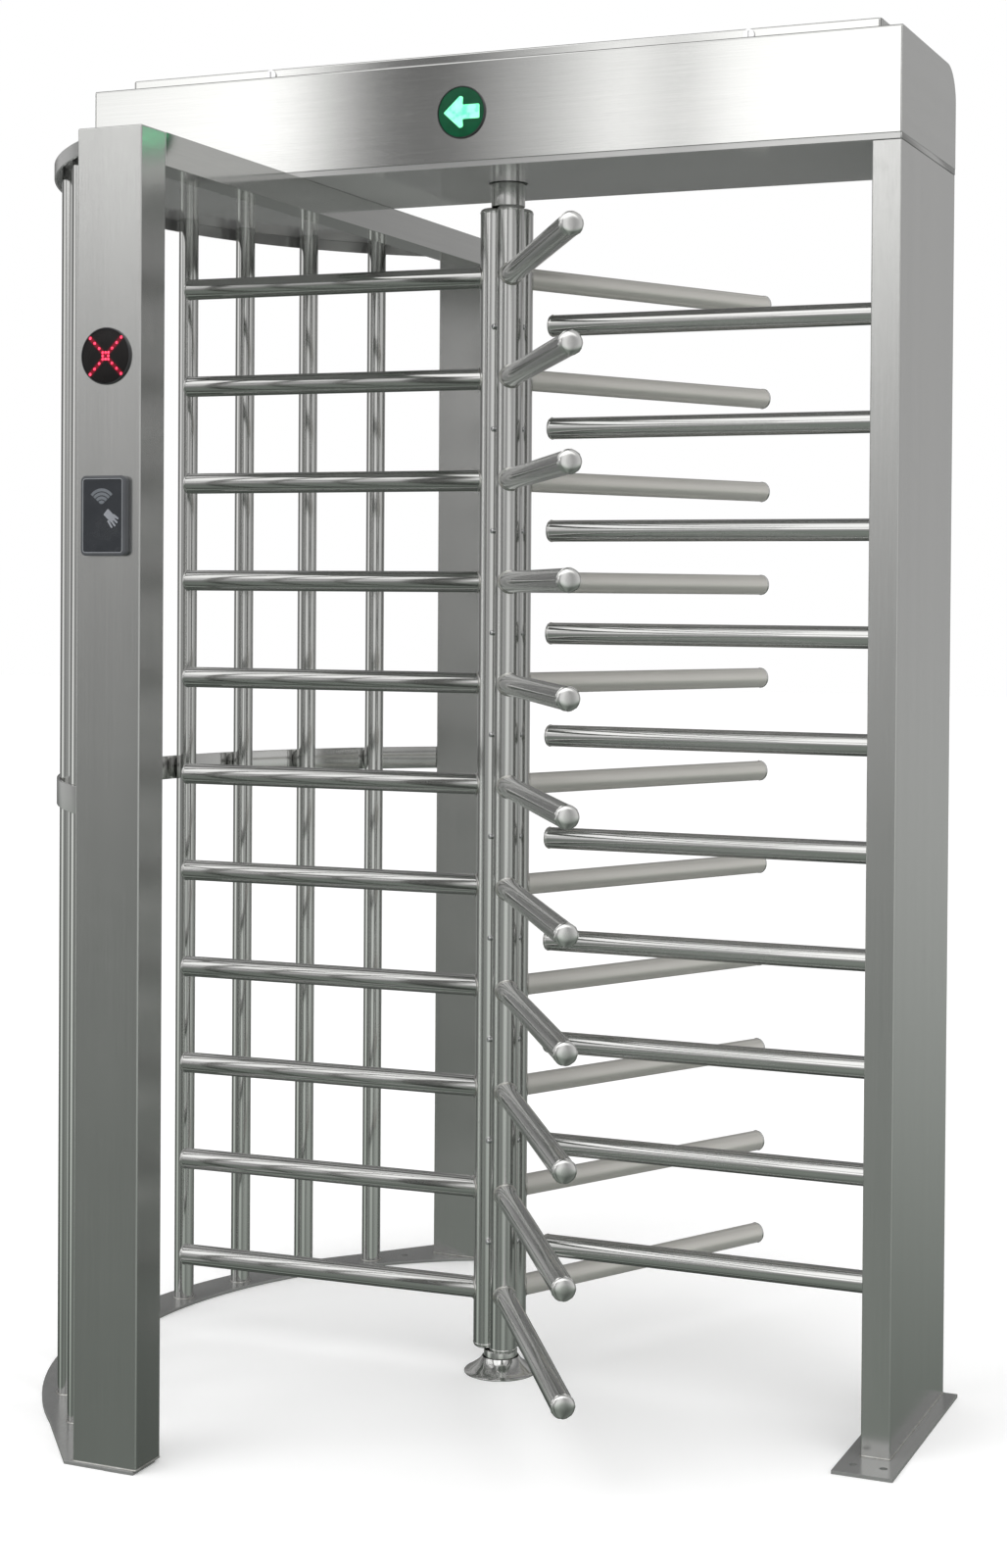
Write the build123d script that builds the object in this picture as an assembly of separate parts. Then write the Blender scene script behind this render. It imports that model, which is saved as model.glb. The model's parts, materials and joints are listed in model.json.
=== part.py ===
from build123d import *
import math
import os

# Full-height three-wing turnstile, millimetres, +Z up.
# Origin: the rotor's axis on the finished floor. +X runs along the header towards
# the comb column, +Y towards the back of the passage.

# ---- driving dimensions -------------------------------------------------
COLUMN_TOP = 2120.0          # underside of the header
BAR_R = 19.0                 # 38 mm tube used for arms, comb bars and cage tubes
BAR_WALL = 1.5
BAR_PITCH = 181.0            # height from one arm to the next
FIRST_ARM_Z = 145.0
ARM_COUNT = 11
WING_ANGLES = (182.15, 302.15, 62.15)
ARM_TIP_R = 645.0            # from the rotor axis to the end of an arm
CAP_LENGTH = 8.0             # what a domed end plug adds to its tube
CAP_DOME = 6.0
PLUG_DEPTH = 14.0

POST_R = 23.5
POST_WALL = 3.0
POST_OFFSET = 27.5           # rotor axis to post axis
POST_BOTTOM = 40.0
POST_TOP = 2078.0
POST_CAP = 10.0
POST_CAP_ROUND = 8.0
SCREW_R = 4.5                # button screws between the posts
SCREW_TIP_R = 34.0
HUB_R = 30.0
TOP_HUB_Z = COLUMN_TOP + 2   # just inside the pan's hole
HUB_FOOT = 12.0              # underside of the bottom hub
SHAFT_R = 20.0
RUNNING = 0.05               # radial clearance of a running fit

COMB_TIP_X = 81.0
COMB_COUNT = ARM_COUNT - 1

BASE_T = 6.0
RIGHT_X0 = 713.0
RIGHT_X1 = 762.0
RIGHT_HALF_Y = 183.0
RIGHT_WALL = 3.0
RIGHT_PLATE = (687.0, 787.0, -264.0, 183.0)
RIGHT_MID_X = 737.0
RIGHT_FRONT_HOLES = (-224.0, 25.0)        # y, and half the distance between the two holes
RIGHT_REAR_HOLES = (140.0, 13.0)
ANCHOR_R = 6.5

LEFT_X0 = -433.0
LEFT_X1 = -316.0
LEFT_Y0 = 638.0
LEFT_Y1 = 710.0
LEFT_WALL = 2.5
BEAM_X0 = -372.0
BEAM_H = 54.0

CAGE_R = 760.0               # circle of the cage tubes
CAGE_PLATE_IN = 722.0
CAGE_PLATE_OUT = 805.0
CAGE_TUBES = 9
CAGE_STEP = 11.4             # degrees between tubes
CAGE_HOLE_R = 768.0
CAGE_HOLE_ANGLES = (5.7, 28.5, 51.3)      # either side of the cage's middle
BAND_T = 5.0
BAND_Z = (1025.0, 1070.0)
ROOF_R = 792.0
ROOF_T = 3.0
ROOF_RIM = 24.0
ROOF_RIM_T = 4.0
FOOT_FRONT = 714.0
FOOT_SIDE = 712.0
FOOT_X0 = -448.0

HEADER_X0 = -742.0
HEADER_X1 = 762.0
HEADER_Y = 186.0
HEADER_TOP = 2301.0
SHEET = 2.0
BEARING_PLATE = (150.0, 124.0)            # half the bearing plate's sides
PAN_LIP = 10.0               # how far the pan shows below the cover
PAN_T = 3.0
PAN_FLANGE = 45.0
REAR_ROUND = 60.0
FRONT_ROUND = 4.0

LID = (-692.0, 715.0, -136.0, 90.0)
LID_H = 25.0
LID_T = 1.5
LID_LIP = 20.0
LID_HINGE_Y = 97.5
LID_HINGE_Z = HEADER_TOP + 7.0
LID_HINGES_X = (-430.0, 450.0)
HINGE_HALF = 30.0            # half the length of a hinge
LEAF_HALF = 10.0             # half the width of the lid's own leaf
HINGE_GAP = 0.5
KNUCKLE_R = 6.0
HINGE_PIN_R = 3.0
LOCKS_X = (-405.0, 490.0)
LOCK_Z = HEADER_TOP + 14.0
LOCK_HEAD_R = 10.0
LOCK_BARREL_R = 8.0
LOCK_REACH = 30.0            # from the lock's axis to the outside of its hook
HOOK_SLOT = (19.0, 30.0)     # where the hook passes down through the opening's lip

PIVOT_R = 50.0
PIVOT_PCD_R = 40.0
PIVOT_HOLE_R = 4.5
PIN_R = 15.0
BUSH_R = 20.0
FLOOR_COVER_R = 65.0
FLOOR_COVER_Z = 28.0
SHEET_BELL = 1.5

PLATE_Z = COLUMN_TOP + PAN_T
PLATE_T = 10.0
MECH_Z = PLATE_Z + PLATE_T   # top of the bearing plate
RATCHET_Z = 2172.0
RATCHET_T = 10.0
RATCHET_R = 75.0
NOTCHES = 12
NOTCH_DEPTH = 9.5
NOTCH_W = 15.0
GEAR_Z = 2188.0
GEAR_T = 9.0
GEAR_MODULE = 3.0
ADDENDUM, DEDENDUM = 0.9, 1.25            # in modules
TOOTH_ROOT, TOOTH_TIP = 0.62, 0.2         # flank widths, as shares of half the pitch
GEAR_TEETH = 48
WEB_HOLE_PCD_R = 48.0        # lightening holes in both wheels
WHEEL_HUB_R = 30.0
PINION_TEETH = 16
FLAG_Z = 2204.0
FLAG_T = 2.0
FLAG_R = 82.0
SHAFT_TOP = 2225.0
BEARING_R = 35.0
BEARING_H = 28.0
BEARING_BLOCK = 55.0         # half the side of the housing's flange
DAMPER_R = 34.0
PINION_SHAFT_R = 6.0
PAWL_PIVOT = (-70.0, -95.0)
PAWL_PIN_R = 5.0
NOSE_X = (-2.0, 7.5)         # the nose leans so that it stands square in its notch when it drops in
PAWL_TAIL_X = -112.0
PAWL_T = 8.0
PAWL_Z = RATCHET_Z + 1.0
PLUNGER_R = 7.0
SOLENOID_Y = (-170.0, -128.0)
SOLENOID_HALF = 17.0

SENSOR_ANGLES = (152, 208)
BOARD = (-430.0, -230.0, -90.0, 90.0)
BOARD_LIFT = 8.0
BOARD_T = 1.6
# left, near, width, length and height of each part on the board: three relays, the
# processor, a capacitor, a row of sockets and the terminal strip
BOARD_PARTS = ((-415, 40, 30, 30, 18), (-370, 40, 30, 30, 18), (-325, 40, 30, 30, 18),
               (-340, -30, 42, 42, 4), (-400, -20, 24, 24, 22), (-280, -30, 18, 50, 12),
               (-415, -86, 170, 14, 14))
SUPPLY = (-640.0, -480.0, -50.0, 50.0, 42.0)

LAMP_R = 45.0
LENS_R = 38.0
LAMP_PROUD = 4.0
LAMP_DEPTH = 32.0
RED_LAMP = (-378.0, 1760.0)
GREEN_LAMP = (-7.0, 2213.0)
READER = (-377.0, 1509.0, 82.0, 126.0)    # centre x, centre z, width, height
READER_DEPTH = 12.0
READER_BEZEL = 5.5

MIN = Align.MIN
MID = Align.CENTER
os.makedirs("parts", exist_ok=True)


# ---- helpers -------------------------------------------------------------
def slab(x0, x1, y0, y1, z0, z1):
    """A block between two corners."""
    box = Box(x1 - x0, y1 - y0, z1 - z0, align=(MIN, MIN, MIN))
    return Pos(x0, y0, z0) * box


def rod(x, y, z0, z1, radius):
    """An upright cylinder."""
    return Pos(x, y, z0) * Cylinder(radius, z1 - z0, align=(MID, MID, MIN))


def tube(x, y, z0, z1, outer, inner):
    """An upright tube."""
    return rod(x, y, z0, z1, outer) - rod(x, y, z0, z1, inner)


def rod_y(x, z, y0, y1, radius):
    """A cylinder along Y."""
    return Plane(origin=(x, y0, z), z_dir=(0, 1, 0)) * Cylinder(radius, y1 - y0, align=(MID, MID, MIN))


def rod_x(y, z, x0, x1, radius):
    """A cylinder along X."""
    return Plane(origin=(x0, y, z), z_dir=(1, 0, 0)) * Cylinder(radius, x1 - x0, align=(MID, MID, MIN))


def polar(radius, degrees):
    """A point on a circle about the rotor axis."""
    angle = math.radians(degrees)
    return radius * math.cos(angle), radius * math.sin(angle)


def around(shape, degrees):
    """A shape turned about the rotor axis."""
    return Rot(0, 0, degrees) * shape


def square_tube(x0, x1, y0, y1, z0, z1, wall):
    """An upright rectangular tube, open at both ends."""
    return slab(x0, x1, y0, y1, z0, z1) - slab(x0 + wall, x1 - wall, y0 + wall, y1 - wall, z0, z1)


def end_plug(tube_end):
    """A domed plug for a 38 mm tube whose axis is +X and whose open end is at x = tube_end."""
    head = rod_x(0, 0, tube_end, tube_end + CAP_LENGTH, BAR_R)
    head = fillet(head.edges().sort_by(Axis.X)[-1:], CAP_DOME)
    return head + rod_x(0, 0, tube_end - PLUG_DEPTH, tube_end, BAR_R - BAR_WALL - 0.1)


def save(name, *solids):
    """Writes one node as separate solids."""
    shape = solids[0] if len(solids) == 1 else Compound(children=list(solids))
    shape.label = name
    export_step(shape, f"parts/{name}.step")


def arm_heights():
    return [FIRST_ARM_Z + BAR_PITCH * i for i in range(ARM_COUNT)]


def comb_heights():
    return [FIRST_ARM_Z + BAR_PITCH * (i + 0.5) for i in range(COMB_COUNT)]


# ---- rotor ---------------------------------------------------------------
def arm():
    """One arm along +X, cut to sit against its post."""
    start = POST_OFFSET
    outer = rod_x(0, 0, start, ARM_TIP_R - CAP_LENGTH, BAR_R)
    inner = rod_x(0, 0, start, ARM_TIP_R - CAP_LENGTH, BAR_R - BAR_WALL)
    post = rod(POST_OFFSET, 0, -2 * POST_R, 2 * POST_R, POST_R)
    return (outer - inner) - post


def wing_posts():
    """The three upright tubes that the arms are welded to, and the plugs in their ends."""
    low = POST_BOTTOM + POST_CAP
    high = POST_TOP - POST_CAP
    top = fillet(rod(0, 0, high, POST_TOP, POST_R).edges().sort_by(Axis.Z)[-1:], POST_CAP_ROUND)
    bottom = fillet(rod(0, 0, POST_BOTTOM, low, POST_R).edges().sort_by(Axis.Z)[:1], POST_CAP_ROUND)
    plugs = []
    for number, angle in enumerate(WING_ANGLES, 1):
        x, y = polar(POST_OFFSET, angle)
        save(f"wing_post_{number}", tube(x, y, low, high, POST_R, POST_R - POST_WALL))
        plugs += [Pos(x, y, 0) * top, Pos(x, y, 0) * bottom]
    save("post_end_plugs", *plugs)


def wing_arms():
    """Eleven arms on each wing, and the plug in the end of every arm."""
    one = arm()
    plug = end_plug(ARM_TIP_R - CAP_LENGTH)
    plugs = []
    for number, angle in enumerate(WING_ANGLES, 1):
        save(f"wing_{number}_arms", *[Pos(0, 0, z) * around(one, angle) for z in arm_heights()])
        plugs += [Pos(0, 0, z) * around(plug, angle) for z in arm_heights()]
    save("arm_end_plugs", *plugs)


def post_screws():
    """Button screws in the grooves between the posts, level with the comb bars."""
    groove = WING_ANGLES[0] + 60
    head = rod_x(0, 0, SCREW_TIP_R - 8.5, SCREW_TIP_R, SCREW_R)
    head = fillet(head.edges().sort_by(Axis.X)[-1:], SCREW_R / 3)
    head = around(head, groove)
    for angle in WING_ANGLES:
        x, y = polar(POST_OFFSET, angle)
        head -= rod(x, y, -10, 10, POST_R)
    one = head.solids()[0]
    save("post_screws", *[Pos(0, 0, z) * around(one, 120 * k) for z in comb_heights() for k in range(3)])


def rotor_hubs():
    """The tube collars above and below the posts, the drive shaft and the bottom bush."""
    save("top_hub", tube(0, 0, POST_TOP, TOP_HUB_Z, HUB_R, SHAFT_R))
    shaft = rod(0, 0, POST_TOP, SHAFT_TOP, SHAFT_R) - rod(0, 0, SHAFT_TOP - 25, SHAFT_TOP, SHAFT_R / 4)
    save("drive_shaft", chamfer(shaft.edges().group_by(Axis.Z)[-1], 1.0))
    save("bottom_hub", tube(0, 0, HUB_FOOT, POST_BOTTOM, HUB_R, BUSH_R))
    save("floor_bush", tube(0, 0, HUB_FOOT, POST_BOTTOM - 1, BUSH_R, PIN_R + RUNNING))


# ---- mechanism on the rotor's shaft ---------------------------------------
def toothed_wheel(teeth, bore, z0, thickness, turn):
    """A spur gear with flat-topped tapered teeth; turn puts a tooth at that angle."""
    pitch_r = GEAR_MODULE * teeth / 2
    root_r = pitch_r - DEDENDUM * GEAR_MODULE
    tip_r = pitch_r + ADDENDUM * GEAR_MODULE
    half_pitch = math.pi * GEAR_MODULE / 2
    root_w = TOOTH_ROOT * half_pitch
    tip_w = TOOTH_TIP * half_pitch
    tooth = make_face(Polyline((root_r - 1, -root_w), (tip_r, -tip_w), (tip_r, tip_w), (root_r - 1, root_w),
                               close=True))
    tooth = Pos(0, 0, z0) * extrude(tooth, thickness)
    wheel = rod(0, 0, z0, z0 + thickness, root_r)
    for k in range(teeth):
        wheel += Rot(0, 0, turn + 360 * k / teeth) * tooth
    return wheel - rod(0, 0, z0, z0 + thickness, bore)


def shaft_wheels():
    """The ratchet wheel, gear and sensor disc, each on its own clamping hub."""
    ratchet = tube(0, 0, RATCHET_Z, RATCHET_Z + RATCHET_T, RATCHET_R, SHAFT_R)
    notch = slab(RATCHET_R - NOTCH_DEPTH, RATCHET_R + 5, -NOTCH_W / 2, NOTCH_W / 2, RATCHET_Z - 1,
                 RATCHET_Z + RATCHET_T + 1)
    for k in range(NOTCHES):
        ratchet -= around(notch, 360 * k / NOTCHES)
    for k in range(6):
        x, y = polar(WEB_HOLE_PCD_R, 60 * k)
        ratchet -= rod(x, y, RATCHET_Z, RATCHET_Z + RATCHET_T, 9)
    ratchet += tube(0, 0, RATCHET_Z - 6, RATCHET_Z, WHEEL_HUB_R, SHAFT_R)
    save("ratchet_wheel", ratchet)

    gear = toothed_wheel(GEAR_TEETH, SHAFT_R, GEAR_Z, GEAR_T, 0)
    for k in range(6):
        x, y = polar(WEB_HOLE_PCD_R, 30 + 60 * k)
        gear -= rod(x, y, GEAR_Z, GEAR_Z + GEAR_T, 12)
    gear += tube(0, 0, RATCHET_Z + RATCHET_T, GEAR_Z, WHEEL_HUB_R, SHAFT_R)
    save("drive_gear", gear)

    flag = tube(0, 0, FLAG_Z, FLAG_Z + FLAG_T, FLAG_R, SHAFT_R)
    slot = slab(FLAG_R - 12, FLAG_R + 2, -6, 6, FLAG_Z, FLAG_Z + FLAG_T)
    for k in range(6):
        flag -= around(slot, 30 + 60 * k)
    flag += tube(0, 0, FLAG_Z + FLAG_T, FLAG_Z + 12, WHEEL_HUB_R - 2, SHAFT_R)
    flag += tube(0, 0, GEAR_Z + GEAR_T, FLAG_Z, WHEEL_HUB_R - 2, SHAFT_R)
    save("sensor_disc", flag)


def damper():
    """A geared rotary damper that slows the rotor."""
    x = GEAR_MODULE * (GEAR_TEETH + PINION_TEETH) / 2
    body = rod(x, 0, MECH_Z, RATCHET_Z - 5, DAMPER_R)
    body = fillet(body.edges().sort_by(Axis.Z)[-1:], 3)
    for k in range(4):
        dx, dy = polar(DAMPER_R + 6, 45 + 90 * k)
        if dx > 0:
            body += rod(x + dx, dy, MECH_Z, MECH_Z + 5, 9) - rod(x + dx, dy, MECH_Z, MECH_Z + 5, 3)
    body -= rod(x, 0, RATCHET_Z - 30, RATCHET_Z - 5, PINION_SHAFT_R + RUNNING)
    save("damper_body", body)
    pinion = toothed_wheel(PINION_TEETH, 4, GEAR_Z - 1, GEAR_T + 2, 180 + 180 / PINION_TEETH)
    pinion += rod(0, 0, RATCHET_Z - 29, GEAR_Z + GEAR_T + 4, PINION_SHAFT_R)
    save("damper_pinion", Pos(x, 0, 0) * pinion)


def pawl_solid():
    """The front pawl: a nose that drops into the ratchet wheel, and a slotted tail."""
    px, py = PAWL_PIVOT
    nose_y = -RATCHET_R - 2.0
    left, right = NOSE_X
    outline = Polyline((PAWL_TAIL_X - 8, py - 7), (px, py - 12), (right + 1.5, nose_y - 15), (right, nose_y),
                       (left, nose_y), (left - 2, nose_y - 7), (px, py + 10), (PAWL_TAIL_X - 8, py + 7),
                       close=True)
    pawl = Pos(0, 0, PAWL_Z) * extrude(make_face(outline), PAWL_T)
    pawl += rod(px, py, PAWL_Z, PAWL_Z + PAWL_T, 13)
    pawl -= rod(px, py, PAWL_Z, PAWL_Z + PAWL_T, PAWL_PIN_R + RUNNING)
    slot = SlotOverall(11, 4.8)
    pawl -= Pos(PAWL_TAIL_X, py, PAWL_Z) * extrude(slot, PAWL_T)
    return pawl


def plunger_solid():
    """The solenoid's plunger, with a forked end pinned to the pawl's tail."""
    py = PAWL_PIVOT[1]
    z = PAWL_Z + PAWL_T / 2
    plunger = rod_y(PAWL_TAIL_X, z, SOLENOID_Y[0] + 14, py - 12, PLUNGER_R)
    fork = slab(PAWL_TAIL_X - 6, PAWL_TAIL_X + 6, py - 14, py + 6, z - 9, z + 9)
    fork -= slab(PAWL_TAIL_X - 6, PAWL_TAIL_X + 6, py - 11, py + 6, z - 4.5, z + 4.5)
    return plunger + fork + rod(PAWL_TAIL_X, py, z - 9, z + 9, 2.0)


def solenoid_solid():
    """A solenoid coil on a folded bracket."""
    z = PAWL_Z + PAWL_T / 2
    x0 = PAWL_TAIL_X - SOLENOID_HALF
    x1 = PAWL_TAIL_X + SOLENOID_HALF
    y0, y1 = SOLENOID_Y
    body = slab(x0, x1, y0, y1, z - SOLENOID_HALF, z + SOLENOID_HALF)
    body += slab(x0, x1, y0, y0 + 3, PLATE_Z, z)
    body += slab(x0, x1, y0, y1, PLATE_Z, PLATE_Z + 3)
    return body - rod_y(PAWL_TAIL_X, z, y0 + 8, y1, PLUNGER_R + 2 * RUNNING)


def lock_mechanism():
    """Two mirrored locking sets: one for each direction of turning."""
    def both(shape):
        return {"entry": shape, "exit": mirror(shape, about=Plane.XZ)}

    for side, pawl in both(pawl_solid()).items():
        save(f"{side}_pawl", pawl)
    for side, plunger in both(plunger_solid()).items():
        save(f"{side}_plunger", plunger)
    save("solenoids", *both(solenoid_solid()).values())
    px, py = PAWL_PIVOT
    pin = rod(px, py, MECH_Z, PAWL_Z + PAWL_T + 6, PAWL_PIN_R) + rod(px, py, MECH_Z, PAWL_Z - 1, 9)
    save("pawl_pins", pin, mirror(pin, about=Plane.XZ))


def shaft_bearing():
    """The thick bearing plate, the flanged housing, its bearing, and their bolts."""
    half_x, half_y = BEARING_PLATE
    plate = slab(-half_x, half_x, -half_y, half_y, PLATE_Z, MECH_Z) - rod(0, 0, PLATE_Z, MECH_Z, SHAFT_R + 6)
    save("bearing_plate", plate)
    block = BEARING_BLOCK
    housing = slab(-block, block, -block, block, MECH_Z, MECH_Z + 10)
    housing = fillet(housing.edges().filter_by(Axis.Z), block / 4)
    housing += rod(0, 0, MECH_Z, MECH_Z + BEARING_H, BEARING_R + 10)
    housing -= rod(0, 0, MECH_Z, MECH_Z + BEARING_H, BEARING_R)
    save("bearing_housing", housing)
    ring = tube(0, 0, MECH_Z + 2, MECH_Z + BEARING_H - 2, BEARING_R, SHAFT_R + RUNNING)
    groove = tube(0, 0, MECH_Z + BEARING_H - 6, MECH_Z + BEARING_H - 2, BEARING_R - 4, SHAFT_R + 5)
    save("shaft_bearing", ring - groove)
    bolts = []
    for half_x, half_y, z in ((block - 10, block - 10, MECH_Z + 10), (136, 62, MECH_Z)):
        for x in (-half_x, half_x):
            for y in (-half_y, half_y):
                hexagon = Pos(x, y, z) * extrude(RegularPolygon(8, 6), 6.5)
                bolts.append(hexagon + rod(x, y, z, z + 1.2, 10))
    save("bearing_bolts", *bolts)


def electronics():
    """Position sensors, control board and power supply inside the header."""
    sensors = []
    for angle in SENSOR_ANGLES:
        sensor = slab(84, 98, -9, 9, MECH_Z, FLAG_Z + 12)
        sensor += slab(74, 98, -9, 9, FLAG_Z - 6, FLAG_Z + 12)
        sensor -= slab(74, 86, -9, 9, FLAG_Z - 2.5, FLAG_Z + FLAG_T + 4)
        sensors.append(around(sensor, angle))
    save("position_sensors", *sensors)

    x0, x1, y0, y1 = BOARD
    z = PLATE_Z + BOARD_LIFT
    board = slab(x0, x1, y0, y1, z, z + BOARD_T)
    for x in (x0 + 10, x1 - 10):
        for y in (y0 + 10, y1 - 10):
            board += rod(x, y, PLATE_Z, z, 4)
    for left, near, width, length, height in BOARD_PARTS:
        board += slab(left, left + width, near, near + length, z, z + height)
    save("control_board", board)

    x0, x1, y0, y1, height = SUPPLY
    supply = slab(x0, x1, y0, y1, PLATE_Z, PLATE_Z + height)
    supply = fillet(supply.edges().filter_by(Axis.Z), 2)
    supply += slab(x1, x1 + 18, y0 + 5, y1 - 5, PLATE_Z, PLATE_Z + 18)
    save("power_supply", supply)


# ---- floor pivot -----------------------------------------------------------
def floor_pivot():
    """The pin that carries the rotor, bolted to the floor, under a polished bell."""
    pivot = rod(0, 0, 0, BASE_T, PIVOT_R) + rod(0, 0, 0, HUB_FOOT - 0.5, PIN_R + 4)
    pivot += rod(0, 0, 0, POST_BOTTOM - 2, PIN_R)
    for k in range(4):
        x, y = polar(PIVOT_PCD_R, 45 + 90 * k)
        pivot -= rod(x, y, 0, BASE_T, PIVOT_HOLE_R)
    save("floor_pivot", pivot)
    flare = Spline((FLOOR_COVER_R, 2), (52, 10), (40, 17), (HUB_R + 2 + SHEET_BELL, FLOOR_COVER_Z))
    bell = Polyline((FLOOR_COVER_R, 0), (FLOOR_COVER_R, 2)) + flare
    throat = HUB_R + 2
    skirt = FLOOR_COVER_R - SHEET_BELL
    inner = Spline((throat, FLOOR_COVER_Z), (38.5, 15.5), (51, 8.2), (skirt, 1))
    rim = Polyline((throat + SHEET_BELL, FLOOR_COVER_Z), (throat, FLOOR_COVER_Z))
    foot = Polyline((skirt, 1), (skirt, 0), (FLOOR_COVER_R, 0))
    section = make_face(Plane.XZ * (bell + rim + inner + foot))
    save("floor_cover", revolve(section, Axis.Z))


# ---- comb side ---------------------------------------------------------------
def comb():
    """The comb column, its base plate, the ten comb bars and their end plugs."""
    column = square_tube(RIGHT_X0, RIGHT_X1, -RIGHT_HALF_Y, RIGHT_HALF_Y, BASE_T, COLUMN_TOP, RIGHT_WALL)
    save("comb_column", column)
    x0, x1, y0, y1 = RIGHT_PLATE
    plate = slab(x0, x1, y0, y1, 0, BASE_T)
    for y, half in (RIGHT_FRONT_HOLES, RIGHT_REAR_HOLES):
        for x in (RIGHT_MID_X - half, RIGHT_MID_X + half):
            plate -= rod(x, y, 0, BASE_T, ANCHOR_R)
    save("comb_base_plate", plate)
    bar = rod_x(0, 0, COMB_TIP_X + CAP_LENGTH, RIGHT_X0, BAR_R)
    bar -= rod_x(0, 0, COMB_TIP_X + CAP_LENGTH, RIGHT_X0, BAR_R - BAR_WALL)
    plug = mirror(end_plug(-COMB_TIP_X - CAP_LENGTH), about=Plane.YZ)
    save("comb_bars", *[Pos(0, 0, z) * bar for z in comb_heights()])
    save("comb_end_plugs", *[Pos(0, 0, z) * plug for z in comb_heights()])


# ---- cage side -----------------------------------------------------------------
def left_column(front):
    """One of the two cage columns; the front one has the lamp's hole and the reader's cable hole."""
    column = square_tube(LEFT_X0, LEFT_X1, -LEFT_Y1, -LEFT_Y0, BASE_T, COLUMN_TOP, LEFT_WALL)
    column += slab(LEFT_X0, LEFT_X1, -LEFT_Y1, -LEFT_Y0, COLUMN_TOP - LEFT_WALL, COLUMN_TOP)
    if front:
        column -= rod_y(RED_LAMP[0], RED_LAMP[1], -LEFT_Y1, -LEFT_Y1 + LEFT_WALL, LAMP_R - 5)
        column -= rod_y(READER[0], READER[1], -LEFT_Y1, -LEFT_Y1 + LEFT_WALL, 9)
        return column
    return mirror(column, about=Plane.XZ)


def cage_plate():
    """The floor plate: a half ring that ends in a foot under each column."""
    edge_x = LEFT_X1 - 3
    shoulder = polar(CAGE_PLATE_OUT, 180 + 44.5)
    outline = Polyline(shoulder, (FOOT_X0, -FOOT_SIDE), (edge_x, -FOOT_FRONT), (edge_x, -LEFT_Y0 / 2),
                       (FOOT_X0, -LEFT_Y0 / 2), close=True)
    foot = extrude(make_face(outline), BASE_T)
    plate = rod(0, 0, 0, BASE_T, CAGE_PLATE_OUT) + foot + mirror(foot, about=Plane.XZ)
    plate -= rod(0, 0, 0, BASE_T, CAGE_PLATE_IN)
    plate -= slab(edge_x, CAGE_PLATE_OUT + 1, -CAGE_PLATE_OUT, CAGE_PLATE_OUT, 0, BASE_T)
    for sign in (-1, 1):
        y0, y1 = sorted((sign * FOOT_FRONT, sign * (CAGE_PLATE_OUT + 1)))
        plate -= slab(-CAGE_PLATE_OUT, edge_x, y0, y1, 0, BASE_T)
    for offset in CAGE_HOLE_ANGLES:
        for angle in (180 - offset, 180 + offset):
            x, y = polar(CAGE_HOLE_R, angle)
            plate -= rod(x, y, 0, BASE_T, ANCHOR_R)
    return plate


def cage_roof():
    """The cage's closed top: a half disc with a turned-down rim, notched round the columns."""
    top = COLUMN_TOP
    disc = rod(0, 0, top - ROOF_T, top, ROOF_R)
    rim = tube(0, 0, top - ROOF_RIM, top - ROOF_T, ROOF_R, ROOF_R - ROOF_RIM_T)
    roof = disc + rim
    roof -= slab(BEAM_X0, ROOF_R + 1, -ROOF_R - 1, ROOF_R + 1, top - ROOF_RIM, top)
    for sign in (-1, 1):
        y0, y1 = sorted((sign * LEFT_Y0, sign * (ROOF_R + 1)))
        roof -= slab(LEFT_X0, BEAM_X0, y0, y1, top - ROOF_RIM, top)
    return roof


def cage():
    """Columns, beam, floor plate, roof, upright tubes and the band round them."""
    front = left_column(True)
    back = left_column(False)
    save("front_column", front)
    save("back_column", back)
    beam = slab(BEAM_X0, LEFT_X1, -LEFT_Y0, LEFT_Y0, COLUMN_TOP - BEAM_H, COLUMN_TOP)
    beam -= slab(BEAM_X0 + LEFT_WALL, LEFT_X1 - LEFT_WALL, -LEFT_Y0, LEFT_Y0,
                 COLUMN_TOP - BEAM_H + LEFT_WALL, COLUMN_TOP - LEFT_WALL)
    save("side_beam", beam)
    save("cage_floor_plate", cage_plate())
    save("cage_roof", cage_roof())
    half = (CAGE_TUBES - 1) / 2
    tubes = []
    for k in range(CAGE_TUBES):
        x, y = polar(CAGE_R, 180 + CAGE_STEP * (k - half))
        tubes.append(tube(x, y, BASE_T, COLUMN_TOP - ROOF_T, BAR_R, BAR_R - BAR_WALL))
    save("cage_tubes", *tubes)
    inner = CAGE_R + BAR_R
    band = tube(0, 0, *BAND_Z, inner + BAND_T, inner)
    band -= slab(LEFT_X0, inner + BAND_T + 1, -inner - BAND_T - 1, inner + BAND_T + 1, *BAND_Z)
    save("cage_band", band)


# ---- header -----------------------------------------------------------------------
def header_section(inset, top_inset):
    """The cover's section in the YZ plane, as a solid along the header."""
    y = HEADER_Y - inset
    z0 = COLUMN_TOP + PAN_LIP
    z1 = HEADER_TOP - top_inset
    block = slab(HEADER_X0 + SHEET, HEADER_X1 - SHEET, -y, y, z0, z1)
    upper = block.edges().filter_by(Axis.X).filter_by_position(Axis.Z, z1 - 1, z1 + 1)
    block = fillet(upper.sort_by(Axis.Y)[-1:], REAR_ROUND - inset)
    upper = block.edges().filter_by(Axis.X).filter_by_position(Axis.Z, z1 - 1, z1 + 1)
    return fillet(upper.sort_by(Axis.Y)[:1], FRONT_ROUND - inset)


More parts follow.
